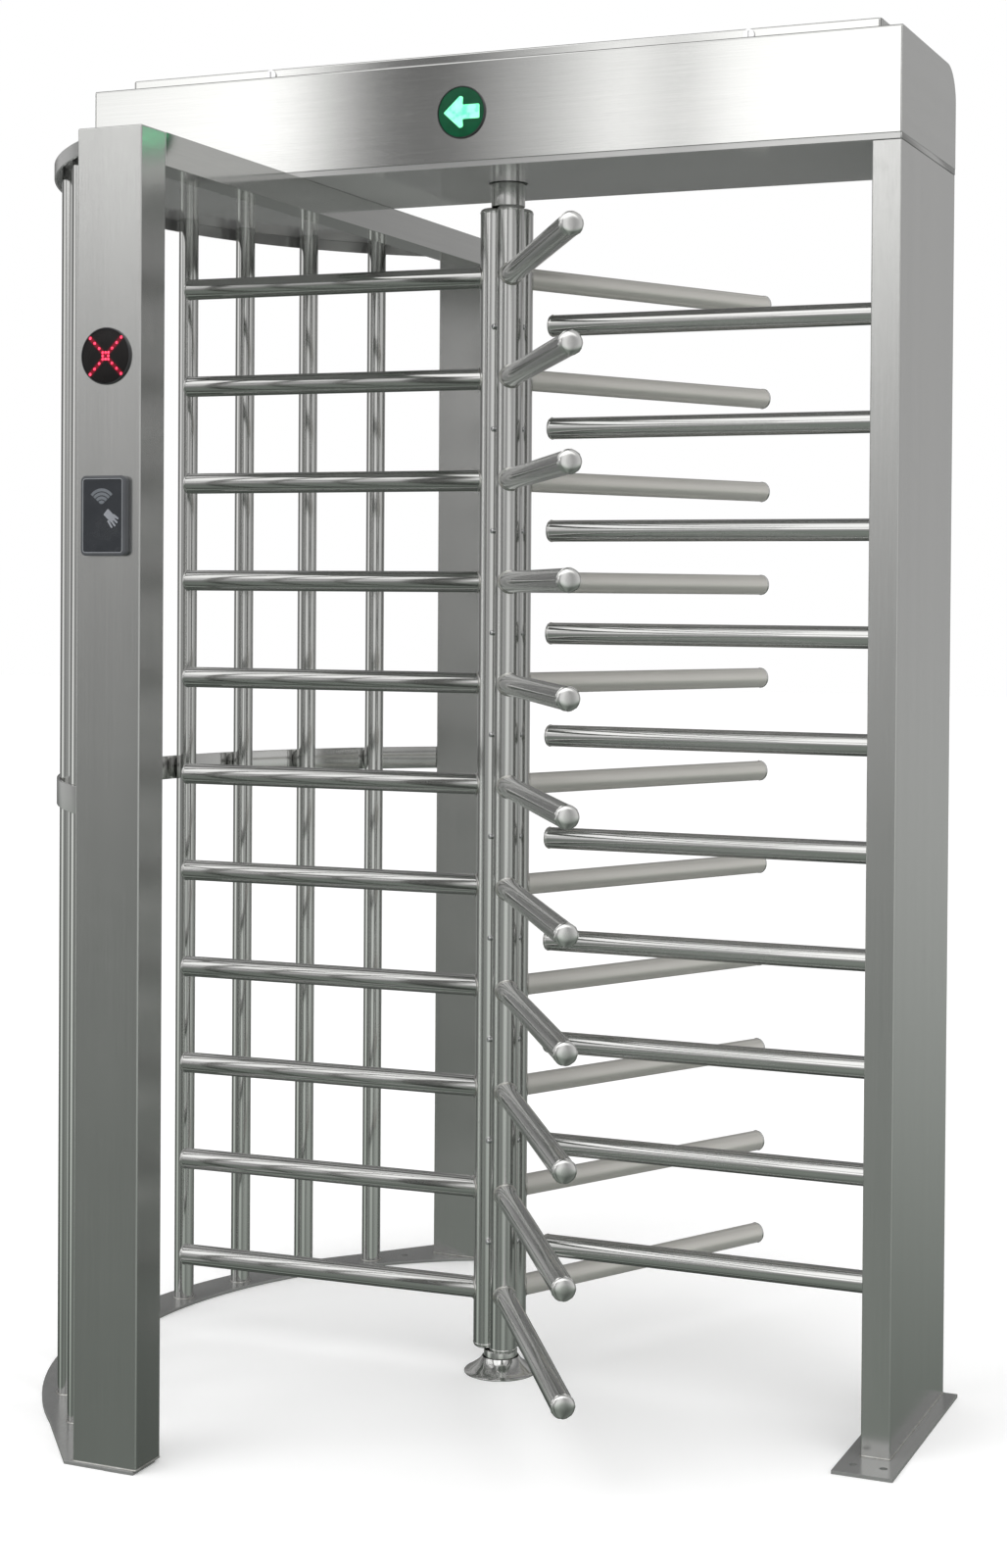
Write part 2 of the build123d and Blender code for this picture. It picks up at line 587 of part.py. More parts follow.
def header_cover():
    """The folded cover with the opening under the service lid and the green lamp's hole."""
    cover = header_section(0, 0) - header_section(SHEET, SHEET)
    x0, x1, y0, y1 = LID
    cover -= slab(x0 + LID_LIP, x1 - LID_LIP, y0 + LID_LIP, y1 - LID_LIP, HEADER_TOP - SHEET, HEADER_TOP)
    for x in LOCKS_X:
        cover -= slab(x + HOOK_SLOT[0], x + HOOK_SLOT[1], y0 + 6, y0 + LID_LIP, HEADER_TOP - SHEET, HEADER_TOP)
    cover -= rod_y(GREEN_LAMP[0], GREEN_LAMP[1], -HEADER_Y, -HEADER_Y + SHEET, LAMP_R - 5)
    save("header_cover", cover)
    whole = header_section(0, 0)
    slice_ = slab(0, SHEET, -HEADER_Y, HEADER_Y, COLUMN_TOP, HEADER_TOP)
    section = Pos(-HEADER_X0, 0, 0) * (whole & (Pos(HEADER_X0 + SHEET, 0, 0) * slice_))
    left = Pos(HEADER_X0 - SHEET, 0, 0) * section
    right = Pos(HEADER_X1 - 2 * SHEET, 0, 0) * section
    save("header_end_plates", left, right)


def header_pan():
    """The tray that carries the mechanism, with the hole for the rotor's neck."""
    x0, x1, y = HEADER_X0 + SHEET, HEADER_X1 - SHEET, HEADER_Y - SHEET
    pan = slab(x0, x1, -y, y, COLUMN_TOP, COLUMN_TOP + PAN_FLANGE)
    pan -= slab(x0, x1, -y + PAN_T, y - PAN_T, COLUMN_TOP + PAN_T, COLUMN_TOP + PAN_FLANGE)
    save("header_pan", pan - rod(0, 0, COLUMN_TOP, COLUMN_TOP + PAN_T, HUB_R + 5))


def hinge_knuckle(x, x0, x1):
    """One hinge knuckle with its bore."""
    y, z = LID_HINGE_Y, LID_HINGE_Z
    return rod_x(y, z, x + x0, x + x1, KNUCKLE_R) - rod_x(y, z, x + x0, x + x1, HINGE_PIN_R + RUNNING)


def service_lid():
    """The raised lid, its two hinges and its two cam locks."""
    x0, x1, y0, y1 = LID
    lid = slab(x0, x1, y0, y1, HEADER_TOP, HEADER_TOP + LID_H)
    lid = fillet(lid.edges().filter_by(Axis.Z), 6)
    lid = fillet(lid.edges().group_by(Axis.Z)[-1], 3)
    lid -= slab(x0 + LID_T, x1 - LID_T, y0 + LID_T, y1 - LID_T, HEADER_TOP, HEADER_TOP + LID_H - LID_T)
    for x in LOCKS_X:
        lid -= rod_y(x, LOCK_Z, y0, y0 + LID_T, LOCK_BARREL_R + 2 * RUNNING)
    save("service_lid", lid)

    frame_leaves, lid_leaves, pins = [], [], []
    gap = LEAF_HALF + HINGE_GAP
    for x in LID_HINGES_X:
        y, z = LID_HINGE_Y, LID_HINGE_Z
        low, high = x - HINGE_HALF, x + HINGE_HALF
        leaf = slab(low, high, y, y + 26, HEADER_TOP, HEADER_TOP + 2)
        leaf -= slab(x - gap, x + gap, y - 1, y + 8, HEADER_TOP, HEADER_TOP + 2)
        web = slab(low, high, y, y + 5.5, HEADER_TOP, z) - slab(x - gap, x + gap, y, y + 6, HEADER_TOP, z)
        bore = rod_x(y, z, low - 1, high + 1, HINGE_PIN_R + RUNNING)
        knuckles = hinge_knuckle(x, -HINGE_HALF, -gap) + hinge_knuckle(x, gap, HINGE_HALF)
        frame_leaves.append(((leaf + web) - bore) + knuckles)
        plate = slab(x - LEAF_HALF, x + LEAF_HALF, y1, y1 + 2, HEADER_TOP + 2, HEADER_TOP + 20)
        tongue = slab(x - LEAF_HALF, x + LEAF_HALF, y1, y, z + 1, z + 5)
        lid_leaves.append((plate + tongue - bore) + hinge_knuckle(x, -LEAF_HALF, LEAF_HALF))
        pins.append(rod_x(y, z, low, high, HINGE_PIN_R))
    save("hinge_leaves", *frame_leaves)
    save("lid_hinge_knuckles", *lid_leaves)
    save("hinge_pins", *pins)

    for side, x in zip(("left", "right"), LOCKS_X):
        tip = x + LOCK_REACH
        z0, z1 = LOCK_Z - 6, LOCK_Z + 6
        lock = rod_y(x, LOCK_Z, y0 - 3, y0, LOCK_HEAD_R) + rod_y(x, LOCK_Z, y0 - 3, y0 + 24, LOCK_BARREL_R)
        lock -= slab(x - 1, x + 1, y0 - 3, y0 - 1, z0, z1)
        lock += slab(x - 6, tip, y0 + 24, y0 + 27, z0, z1)
        lock += slab(tip - 3, tip, y0 + 8, y0 + 27, z0, z1)
        save(f"{side}_lid_lock", lock)


# ---- lamps and reader ------------------------------------------------------------
def lamp(x, z, face):
    """A round signal lamp set in a wall whose outer face is at y = face: housing and lens."""
    proud = face - LAMP_PROUD
    housing = rod_y(x, z, proud, face, LAMP_R) + rod_y(x, z, face, face + LAMP_DEPTH, LAMP_R - 5.2)
    housing -= rod_y(x, z, proud, face + LAMP_DEPTH - 3, LENS_R)
    lens = rod_y(x, z, proud + 1, face + 1, LENS_R)
    board = rod_y(x, z, face + 1, face + 4, LENS_R - 2)
    return housing, lens + board


def lamps():
    """The red cross lamp on the front column and the green arrow lamp on the header."""
    housing, lens = lamp(*RED_LAMP, -LEFT_Y1)
    save("red_lamp_housing", housing)
    save("red_lamp_lens", lens)
    housing, lens = lamp(*GREEN_LAMP, -HEADER_Y)
    save("green_lamp_housing", housing)
    save("green_lamp_lens", lens)


def reader():
    """The card reader: a moulded case and a glass front."""
    x, z, width, height = READER
    face = -LEFT_Y1
    case = slab(x - width / 2, x + width / 2, face - READER_DEPTH, face, z - height / 2, z + height / 2)
    case = fillet(case.edges().filter_by(Axis.Y), 9)
    case = fillet(case.edges().group_by(Axis.Y)[0], 3)
    half_w = width / 2 - READER_BEZEL
    half_h = height / 2 - READER_BEZEL
    front = face - READER_DEPTH
    pocket = slab(x - half_w, x + half_w, front, front + 3, z - half_h, z + half_h)
    pocket = fillet(pocket.edges().filter_by(Axis.Y), 4)
    save("reader_case", case - pocket)
    save("reader_glass", pocket)


def main():
    wing_posts()
    wing_arms()
    post_screws()
    rotor_hubs()
    shaft_wheels()
    damper()
    lock_mechanism()
    shaft_bearing()
    electronics()
    floor_pivot()
    comb()
    cage()
    header_cover()
    header_pan()
    service_lid()
    lamps()
    reader()


main()
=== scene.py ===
import json
import math

import bmesh
import bpy
from mathutils import Matrix, Vector

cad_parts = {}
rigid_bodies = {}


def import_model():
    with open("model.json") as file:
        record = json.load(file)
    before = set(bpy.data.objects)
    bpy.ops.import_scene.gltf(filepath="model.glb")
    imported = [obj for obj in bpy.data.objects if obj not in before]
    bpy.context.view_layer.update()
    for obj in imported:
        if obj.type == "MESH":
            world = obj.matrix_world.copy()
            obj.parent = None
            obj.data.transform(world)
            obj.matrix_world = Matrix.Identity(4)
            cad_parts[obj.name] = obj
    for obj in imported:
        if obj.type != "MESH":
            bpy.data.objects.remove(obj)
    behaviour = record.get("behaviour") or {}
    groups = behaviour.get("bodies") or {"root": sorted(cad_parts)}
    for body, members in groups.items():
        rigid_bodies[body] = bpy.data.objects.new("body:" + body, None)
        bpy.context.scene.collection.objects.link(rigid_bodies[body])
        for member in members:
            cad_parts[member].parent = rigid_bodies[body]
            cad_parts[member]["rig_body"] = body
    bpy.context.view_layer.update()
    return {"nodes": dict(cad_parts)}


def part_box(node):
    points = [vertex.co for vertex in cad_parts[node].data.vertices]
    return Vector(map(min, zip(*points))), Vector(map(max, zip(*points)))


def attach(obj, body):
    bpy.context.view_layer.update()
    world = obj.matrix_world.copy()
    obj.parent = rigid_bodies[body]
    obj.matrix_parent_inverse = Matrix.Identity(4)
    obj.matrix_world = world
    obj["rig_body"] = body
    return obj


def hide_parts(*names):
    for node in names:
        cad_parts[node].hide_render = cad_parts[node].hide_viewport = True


bl_info = {
    "name": "Full-height turnstile",
    "version": (1, 0, 0),
    "blender": (4, 5, 0),
    "location": "3D View > Sidebar > Turnstile",
    "description": "Builds the steel, the lamps and the mechanism of a three-wing turnstile",
    "category": "Object",
}

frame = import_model()
NODES = frame["nodes"]


# ---- places taken from the frame ----
def low(node):
    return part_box(node)[0]


def high(node):
    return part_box(node)[1]


def middle(node):
    return (low(node) + high(node)) / 2


def extent(node):
    return high(node) - low(node)


def heights(node, count):
    """The heights of a node's evenly spaced bars."""
    step = (extent(node).z - 2 * BAR_R) / (count - 1)
    return [low(node).z + BAR_R + k * step for k in range(count)]


WINGS = (1, 2, 3)
CAGE_TUBES = 9
BAR_R = extent("comb_bars").y / 2
POST_R = extent("wing_post_1").x / 2
POST_AXES = [middle(f"wing_post_{n}") for n in WINGS]
POST_OFFSET = math.hypot(POST_AXES[0].x, POST_AXES[0].y)
WING_ANGLES = [math.atan2(p.y, p.x) for p in POST_AXES]
COMB_Z = heights("comb_bars", 10)
ARM_Z = heights("wing_1_arms", 11)
ARM_END = (-low("wing_1_arms").x - BAR_R * abs(math.sin(WING_ANGLES[0]))) / abs(math.cos(WING_ANGLES[0]))
CAP_LENGTH = low("comb_bars").x - low("comb_end_plugs").x
CAGE_R = -low("cage_tubes").x - BAR_R
CAGE_STEP = math.asin((high("cage_tubes").y - BAR_R) / CAGE_R) * 2 / (CAGE_TUBES - 1)


# ---- shaders ----
class Value:
    """One output in a material; arithmetic on it adds Math nodes."""

    def __init__(self, paint, socket):
        self.paint = paint
        self.socket = socket

    def maths(self, operation, first, second):
        return self.paint.add("ShaderNodeMath", {"operation": operation}, {0: first, 1: second})

    def __add__(self, other):
        return self.maths("ADD", self, other)

    def __sub__(self, other):
        return self.maths("SUBTRACT", self, other)

    def __rsub__(self, other):
        return self.maths("SUBTRACT", other, self)

    def __mul__(self, other):
        return self.maths("MULTIPLY", self, other)

    def most(self, other):
        return self.maths("MAXIMUM", self, other)

    def bearing(self, x):
        """The angle about Z of a point whose Y is this value."""
        return self.maths("ARCTAN2", self, x)

    def through(self, function):
        """A Math node with one input, such as a sine."""
        return self.paint.add("ShaderNodeMath", {"operation": function}, {0: self})

    def clamped(self):
        return self.paint.add("ShaderNodeClamp", {}, {"Value": self})

    def eased(self, start, end, first=0.0, last=1.0):
        """Goes smoothly from first to last as this value goes from start to end."""
        return self.paint.add("ShaderNodeMapRange", {"interpolation_type": "SMOOTHSTEP"},
                              {0: self, 1: start, 2: end, 3: first, 4: last})

    __radd__ = __add__
    __rmul__ = __mul__


class Paint:
    """A node tree that is being filled: a material's or the world's."""

    def __init__(self, owner):
        owner.use_nodes = True
        self.tree = owner.node_tree
        self.tree.nodes.clear()

    def add(self, kind, settings, values, output=0):
        """Adds a node, sets it, fills its sockets, and gives one of its outputs."""
        node = self.tree.nodes.new(kind)
        for key, value in settings.items():
            if key == "stops":
                fill_ramp(node.color_ramp, value)
            else:
                setattr(node, key, value)
        for key, value in values.items():
            if isinstance(value, Value):
                self.tree.links.new(value.socket, node.inputs[key])
            else:
                node.inputs[key].default_value = value
        return Value(self, node.outputs[output]) if node.outputs else node

    def place(self):
        return self.add("ShaderNodeTexCoord", {}, {}, "Object")

    def grain_place(self):
        return self.add("ShaderNodeAttribute", {"attribute_name": "grain"}, {}, "Vector")

    def axes(self, vector):
        node = self.add("ShaderNodeSeparateXYZ", {}, {0: vector}).socket.node
        return [Value(self, out) for out in node.outputs]

    def noise(self, vector, scale, detail=2.0, rough=0.5):
        return self.add("ShaderNodeTexNoise", {}, {"Vector": vector, "Scale": scale, "Detail": detail,
                                                   "Roughness": rough}, "Fac")

    def streaks(self, vector, axis, across, along, detail=2.0):
        """Noise drawn out along one axis; across and along are marks to the metre."""
        scale = [across] * 3
        scale[axis] = along
        drawn = self.add("ShaderNodeMapping", {}, {"Vector": vector, "Scale": scale})
        return self.noise(drawn, 1.0, detail, 0.6)

    def blend(self, factor, first, second):
        return self.add("ShaderNodeMix", {"data_type": "RGBA"},
                        {0: factor, 6: colour(first), 7: colour(second)}, 2)

    def ramp(self, value, first, last, stops):
        """A curve through (place, height) stops, for a value that goes from first to last."""
        share = self.add("ShaderNodeMapRange", {}, {0: value, 1: first, 2: last, 3: 0.0, 4: 1.0})
        top = max(height for _, height in stops)
        shares = [((place - first) / (last - first), height / top) for place, height in stops]
        return self.add("ShaderNodeValToRGB", {"stops": shares}, {0: share}) * top

    def bump(self, height, depth):
        return self.add("ShaderNodeBump", {}, {"Height": height, "Distance": depth, "Strength": 1.0})

    def surface(self, values):
        """The Principled shader, joined to the material's output."""
        shader = self.add("ShaderNodeBsdfPrincipled", {}, values)
        self.add("ShaderNodeOutputMaterial", {}, {"Surface": shader})


def fill_ramp(bar, stops):
    """Gives a ramp its (share, grey) stops."""
    for _ in stops[2:]:
        bar.elements.new(0.5)
    for element, (share, grey) in zip(bar.elements, stops):
        element.position = share
        element.color = (grey,) * 3 + (1.0,)


def colour(value):
    """A plain colour gets its alpha; a link stays as it is."""
    return value if isinstance(value, Value) else (*value[:3], 1.0)


def shaded(tone, share):
    return tuple(part * share for part in tone)


# How fine the steel's marks are, in marks to the metre: across the grain, then along it.
HAIR = (1100.0, 14.0)
LINE = (300.0, 2.0)
BAND = (20.0, 0.3)
CLOUD_SCALE = 3.2
WIPE_SCALE = 17.0
ALONG, ACROSS, UPRIGHT = 0, 1, 2      # the axis that a piece's grain runs along


def steel(p, grain, dark, light, rough, brush, cloud=0.06, on_tube=False, metallic=1.0):
    """Stainless steel whose grain runs along one axis; brush is how deep the grain is cut, in millimetres."""
    where = p.grain_place() if on_tube else p.place()
    hair = p.streaks(where, grain, *HAIR)
    line = p.streaks(where, grain, *LINE)
    band = p.streaks(where, grain, *BAND, detail=1.0)
    haze = p.noise(p.place(), CLOUD_SCALE, 3.0, 0.6)
    wipe = p.noise(p.place(), WIPE_SCALE, 4.0, 0.65)
    mark = wipe.eased(0.56, 0.74)
    tone = 0.5 + (hair - 0.5) * 0.5 + (line - 0.5) * 0.3 + (band - 0.5) * 0.35 + (haze - 0.5) * 0.4
    polish = rough + (line - 0.5) * (0.15 * rough) + (haze - 0.5) * cloud + mark * (0.35 * cloud)
    p.surface({"Base Color": p.blend(tone.clamped(), dark, light), "Metallic": metallic,
               "Roughness": polish.clamped(), "Normal": p.bump(hair, brush / 1000.0)})


def cast_metal(p, dark, light, rough, grit, metallic=1.0):
    """Cast, ground or plated metal with an even grit and worn, slightly stained patches."""
    where = p.place()
    patch = p.noise(where, 24.0, 4.0, 0.6)
    fine = p.noise(where, 700.0, 3.0, 0.6)
    tone = 0.5 + (patch - 0.5) * 0.9 + (fine - 0.5) * 0.5
    p.surface({"Base Color": p.blend(tone.clamped(), dark, light), "Metallic": metallic,
               "Roughness": (rough + (patch - 0.5) * 0.22).clamped(), "Normal": p.bump(fine, grit / 1000.0)})


def moulding(p, dark, light, rough, grit, coat=0.0):
    """Moulded plastic or enamel with a fine spark-eroded grain and faint handling marks."""
    where = p.place()
    grain = p.noise(where, 1500.0, 2.0, 0.5)
    rub = p.noise(where, 38.0, 4.0, 0.65)
    p.surface({"Base Color": p.blend((0.5 + (rub - 0.5) * 1.2).clamped(), dark, light),
               "Roughness": (rough + (rub - 0.5) * 0.18).clamped(), "Coat Weight": coat,
               "Normal": p.bump(grain, grit / 1000.0)})


def circuit_board(p):
    """Green board with copper tracks under the lacquer; what stands on it is dark."""
    track_rate, row_rate = 1100.0, 1700.0
    where = p.place()
    x, y, z = p.axes(where)
    tracks = ((x + p.noise(where, 9.0) * 0.04) * track_rate).through("SINE").eased(0.35, 0.6)
    rows = (y * row_rate).through("SINE").eased(0.2, 0.5)
    weave = p.noise(where, 300.0, 3.0)
    parts_from = high("control_board").z - 0.0205
    top = z.eased(parts_from, parts_from + 0.0005)
    green = p.blend(tracks * rows * 0.55, (0.012, 0.075, 0.03), (0.05, 0.2, 0.08))
    part = p.blend(weave, (0.025, 0.025, 0.028), (0.07, 0.07, 0.075))
    p.surface({"Base Color": p.blend(top, green, part), "Roughness": 0.35 + (weave - 0.5) * 0.2,
               "Normal": p.bump(weave, 0.00004)})


def lamp_glass(p, node, dark, light, glow, crossed):
    """A smoked lamp window over a grid of unlit dots, with the light that spills from the lit ones."""
    dot_pitch = 0.0045
    spill_edge, spill_heart = 0.0075, 0.001
    where = p.place()
    x, y, z = p.axes(where)
    centre = middle(node)
    across = x - centre.x
    upward = z - centre.z
    rate = math.tau / dot_pitch
    dots = ((across * rate).through("COSINE") * (upward * rate).through("COSINE")).eased(0.35, 0.75)
    haze = p.noise(where, 60.0, 3.0)
    spill = haze.eased(0.2, 0.8, 0.6, 1.0)
    if crossed:
        off = across.through("ABSOLUTE") - upward.through("ABSOLUTE")
        spill = spill * off.through("ABSOLUTE").eased(spill_edge, spill_heart)
    p.surface({"Base Color": p.blend((dots * 0.7 + (haze - 0.5) * 0.3).clamped(), dark, light),
               "Roughness": 0.16 + haze * 0.12, "Specular IOR Level": 0.2, "Normal": p.bump(dots, 0.00006),
               "Emission Color": p.blend(spill, (0.0, 0.0, 0.0), glow), "Emission Strength": 1.0})


def glowing(p, core, edge, strength, spread):
    """A lit diffuser: hottest in patches over the diodes behind it."""
    patch = p.noise(p.place(), spread, 2.0)
    p.surface({"Base Color": p.blend(patch, edge, core), "Roughness": 0.3 + patch * 0.2,
               "Emission Color": p.blend(patch.eased(0.3, 0.62), edge, core), "Emission Strength": strength})


def glass_panel(p):
    """Dark glass with finger smears."""
    smear = p.noise(p.place(), 45.0, 5.0, 0.65)
    p.surface({"Base Color": p.blend(smear, (0.008, 0.010, 0.013), (0.018, 0.021, 0.026)),
               "Roughness": 0.1 + smear.eased(0.4, 0.7) * 0.22, "Coat Weight": 0.6,
               "Normal": p.bump(smear, 0.00005)})


def weld(p):
    """Weld metal: rippled, and tinted here and there by the heat."""
    where = p.place()
    ripple = p.noise(where, 420.0, 3.0)
    heat = p.noise(where, 70.0, 3.0).eased(0.35, 0.7)
    p.surface({"Base Color": p.blend(heat, (0.66, 0.66, 0.64), (0.50, 0.49, 0.46)), "Metallic": 1.0,
               "Roughness": (0.2 + ripple * 0.25).clamped(), "Normal": p.bump(ripple, 0.0003)})


def pale_floor(p, glow):
    """Plain pale floor with the faintest cloud, lit a little from itself."""
    cloud = p.noise(p.place(), 0.7, 3.0)
    p.surface({"Base Color": p.blend(cloud, (0.93, 0.93, 0.93), (0.96, 0.96, 0.96)),
               "Roughness": 0.8 + cloud * 0.1,
               "Emission Color": (1.0, 1.0, 1.0, 1.0), "Emission Strength": glow})


def finishes():
    """Every finish: the function that paints it, and what that is given."""
    look = bpy.context.scene.turnstile_finish
    light, dark, warm = tuple(look.steel_light), tuple(look.steel_dark), tuple(look.pale_lit_steel)
    rough, shiny = look.brush_roughness, look.tube_roughness
    return {
        "brushed_upright": (steel, UPRIGHT, dark, light, rough, 0.05),
        "brushed_along": (steel, ALONG, dark, light, rough * 0.3, 0.015, 0.03),
        "brushed_across": (steel, ACROSS, dark, light, rough, 0.05),
        "beam_steel": (steel, ACROSS, dark, light, rough * 0.4, 0.01, 0.04),
        "floor_plate": (steel, ACROSS, shaded(dark, 0.55), shaded(dark, 0.75), rough, 0.05, 0.16, False, 0.6),
        # painted shade: a darker copy of the steel for sheets that face down, standing in for the shade under
        # them
        "underside": (steel, ALONG, shaded(dark, 0.62), shaded(light, 0.66), 0.08, 0.002, 0.05, False, 0.6),
        "tube_steel": (steel, UPRIGHT, dark, light, shiny, 0.0012, 0.05, True),
        # painted light: a paler, warmer, duller copy of the tube steel for the wing that stands at the back
        "back_tube": (steel, UPRIGHT, shaded(warm, 0.85), warm, shiny * 3.2, 0.0012, 0.05, True, 0.7),
        "post_steel": (steel, UPRIGHT, dark, light, shiny * 1.4, 0.001, 0.05, True),
        "mirror_steel": (steel, ACROSS, dark, light, shiny * 1.1, 0.004, 0.04),
        "bright_cap": (steel, UPRIGHT, light, (0.80, 0.80, 0.79), shiny * 1.2, 0.0008, 0.04, True),
        "weld_bead": (weld,),
        "chrome": (cast_metal, (0.62, 0.62, 0.63), (0.8, 0.8, 0.81), 0.12, 0.004),
        "machined_steel": (cast_metal, (0.30, 0.30, 0.30), (0.52, 0.51, 0.49), 0.33, 0.02),
        "hard_steel": (cast_metal, (0.16, 0.16, 0.17), (0.34, 0.34, 0.34), 0.36, 0.02),
        "bronze": (cast_metal, (0.40, 0.22, 0.08), (0.64, 0.40, 0.17), 0.34, 0.02),
        "zinc": (cast_metal, (0.42, 0.44, 0.45), (0.66, 0.67, 0.66), 0.4, 0.015),
        "cast_grey": (cast_metal, (0.10, 0.105, 0.11), (0.20, 0.205, 0.21), 0.55, 0.12, 0.35),
        "alloy": (cast_metal, (0.52, 0.53, 0.54), (0.74, 0.74, 0.74), 0.38, 0.02),
        "coil_black": (moulding, (0.02, 0.02, 0.022), (0.05, 0.05, 0.054), 0.45, 0.02),
        "sensor_black": (moulding, (0.016, 0.016, 0.018), (0.04, 0.04, 0.044), 0.5, 0.02),
        "relay_blue": (moulding, (0.03, 0.10, 0.28), (0.05, 0.15, 0.36), 0.35, 0.01),
        "terminal_green": (moulding, (0.03, 0.22, 0.09), (0.05, 0.3, 0.13), 0.4, 0.01),
        "lamp_black": (moulding, (0.010, 0.010, 0.011), (0.024, 0.024, 0.026), 0.32, 0.01, 0.2),
        "reader_grey": (moulding, (0.040, 0.043, 0.048), (0.065, 0.069, 0.076), 0.42, 0.012, 0.25),
        "reader_line": (moulding, (0.17, 0.18, 0.19), (0.24, 0.25, 0.26), 0.3, 0.01, 0.2),
        "reader_mark": (moulding, (0.085, 0.094, 0.105), (0.13, 0.142, 0.156), 0.4, 0.01),
        "reader_hand": (moulding, (0.16, 0.17, 0.19), (0.24, 0.25, 0.27), 0.4, 0.01),
        "reader_black": (glass_panel,),
        "board_green": (circuit_board,),
        "red_window": (lamp_glass, "red_lamp_housing", (0.006, 0.006, 0.006), (0.022, 0.014, 0.014),
                       (0.30, 0.0, 0.02), True),
        "green_window": (lamp_glass, "green_lamp_housing", (0.002, 0.022, 0.010), (0.005, 0.06, 0.028),
                         (0.0, 0.05, 0.018), False),
        "red_diode": (glowing, tuple(look.red_core), tuple(look.red_edge), 1.6, 300.0),
        "green_arrow": (glowing, tuple(look.green_core), tuple(look.green_edge), 1.0, 70.0),
        "studio_floor": (pale_floor, bpy.context.scene.turnstile_stage.floor_glow),
    }


def finish(name):
    """The finish of that name, painted when a piece first asks for it."""
    own_name = "turnstile_" + name
    made = bpy.data.materials.get(own_name)
    if made is None:
        made = bpy.data.materials.new(own_name)
        painter, *choices = finishes()[name]
        painter(Paint(made), *choices)
    return made


# ---- shapes ----
CREASE = math.radians(38)               # sharper edges than this stay sharp
BEVEL_ANGLE = math.radians(40)
GRAIN_SHIFT = Vector((0.013, 0.007, 0.71))    # from one copy's stretch of grain to the next
WHOLE = Matrix.Identity(4)


def arc(cx, cz, radius, start, end, count):
    """Points on an arc of a (radius, height) profile, angles in degrees."""
    angles = [math.radians(start + (end - start) * k / count) for k in range(count + 1)]
    return [(cx + radius * math.cos(a), cz + radius * math.sin(a)) for a in angles]


def turned(profile, steps=32, closed=False, shape=None):
    """A mesh spun about Z from a profile of (radius, height) points; shape may then move its points."""
    bm = bmesh.new()
    verts = [bm.verts.new((r, 0.0, h)) for r, h in profile]
    pairs = list(zip(verts, verts[1:])) + ([(verts[-1], verts[0])] if closed else [])
    edges = [bm.edges.new(pair) for pair in pairs]
    bmesh.ops.spin(bm, geom=verts + edges, axis=(0, 0, 1), cent=(0, 0, 0), angle=math.tau, steps=steps,
                   use_merge=True)
    bmesh.ops.remove_doubles(bm, verts=bm.verts, dist=1e-6)
    if shape:
        for v in bm.verts:
            shape(v, math.atan2(v.co.y, v.co.x))
    bmesh.ops.recalc_face_normals(bm, faces=bm.faces)
    grain = bm.verts.layers.float_vector.new("grain")
    for v in bm.verts:
        v[grain] = v.co
    mesh = bpy.data.meshes.new("stamp")
    bm.to_mesh(mesh)
    bm.free()
    return mesh


def empty_mesh():
    bm = bmesh.new()
    bm.verts.layers.float_vector.new("grain")
    return bm


def stamp(bm, mesh, places):
    """Adds a copy of a mesh at each place, each with a different stretch of grain."""
    grain = bm.verts.layers.float_vector["grain"]
    for place in places:
        start = len(bm.verts)
        bm.from_mesh(mesh)
        bm.verts.ensure_lookup_table()
        fresh = bm.verts[start:]
        shift = GRAIN_SHIFT * (start % 97)
        for v in fresh:
            v[grain] = v[grain] + shift
        bmesh.ops.transform(bm, matrix=place, verts=fresh)
    return bm


def piece(name, bm, look, body, replaced=(), bevel=None):
    """Finishes a mesh as a named piece: material, shading, body and the CAD nodes it stands for."""
    mesh = bpy.data.meshes.new(name)
    bm.to_mesh(mesh)
    bm.free()
    mesh.materials.append(finish(look))
    mesh.shade_smooth()
    if not bevel:
        mesh.set_sharp_from_angle(angle=CREASE)
    obj = bpy.data.objects.new(name, mesh)
    bpy.context.scene.collection.objects.link(obj)
    if bevel:
        soft = obj.modifiers.new("edges", "BEVEL")
        soft.width, soft.segments = bevel
        soft.limit_method = "ANGLE"
        soft.angle_limit = BEVEL_ANGLE
        soft.profile = 0.5
        keep_flat(obj)
    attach(obj, body)
    if replaced:
        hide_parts(*replaced)
    return obj


def keep_flat(obj):
    """Shades flat sides flat, right up to their rounded edges."""
    obj.modifiers.new("flat_sides", "WEIGHTED_NORMAL").weight = 80


def body_of(node):
    return NODES[node]["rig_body"]


def refined(node, look, width=0.0004, segments=2, name=None):
    """A copy of a CAD node with its facets joined up and its edges softly broken."""
    bm = bmesh.new()
    bm.from_mesh(NODES[node].data)
    bmesh.ops.remove_doubles(bm, verts=bm.verts, dist=2e-6)
    bmesh.ops.dissolve_limit(bm, angle_limit=math.radians(0.6), verts=bm.verts, edges=bm.edges)
    grain = bm.verts.layers.float_vector.new("grain")
    for v in bm.verts:
        v[grain] = v.co
    return piece(name or f"{node}_body", bm, look, body_of(node), [node], (width, segments))


def block(bm, corner, opposite, fold=0.0, segments=3):
    """A block between two corners with rounded edges."""
    low_corner, high_corner = Vector(corner), Vector(opposite)
    size = high_corner - low_corner
    place = Matrix.Translation((low_corner + high_corner) / 2) @ Matrix.Diagonal((*size, 1.0))
    made = bmesh.ops.create_cube(bm, size=1.0, matrix=place)["verts"]
    if fold:
        edges = list({e for v in made for e in v.link_edges})
        bmesh.ops.bevel(bm, geom=edges, offset=fold, offset_type="OFFSET", affect="EDGES", segments=segments,
                        profile=0.5, material=-1)
    return made


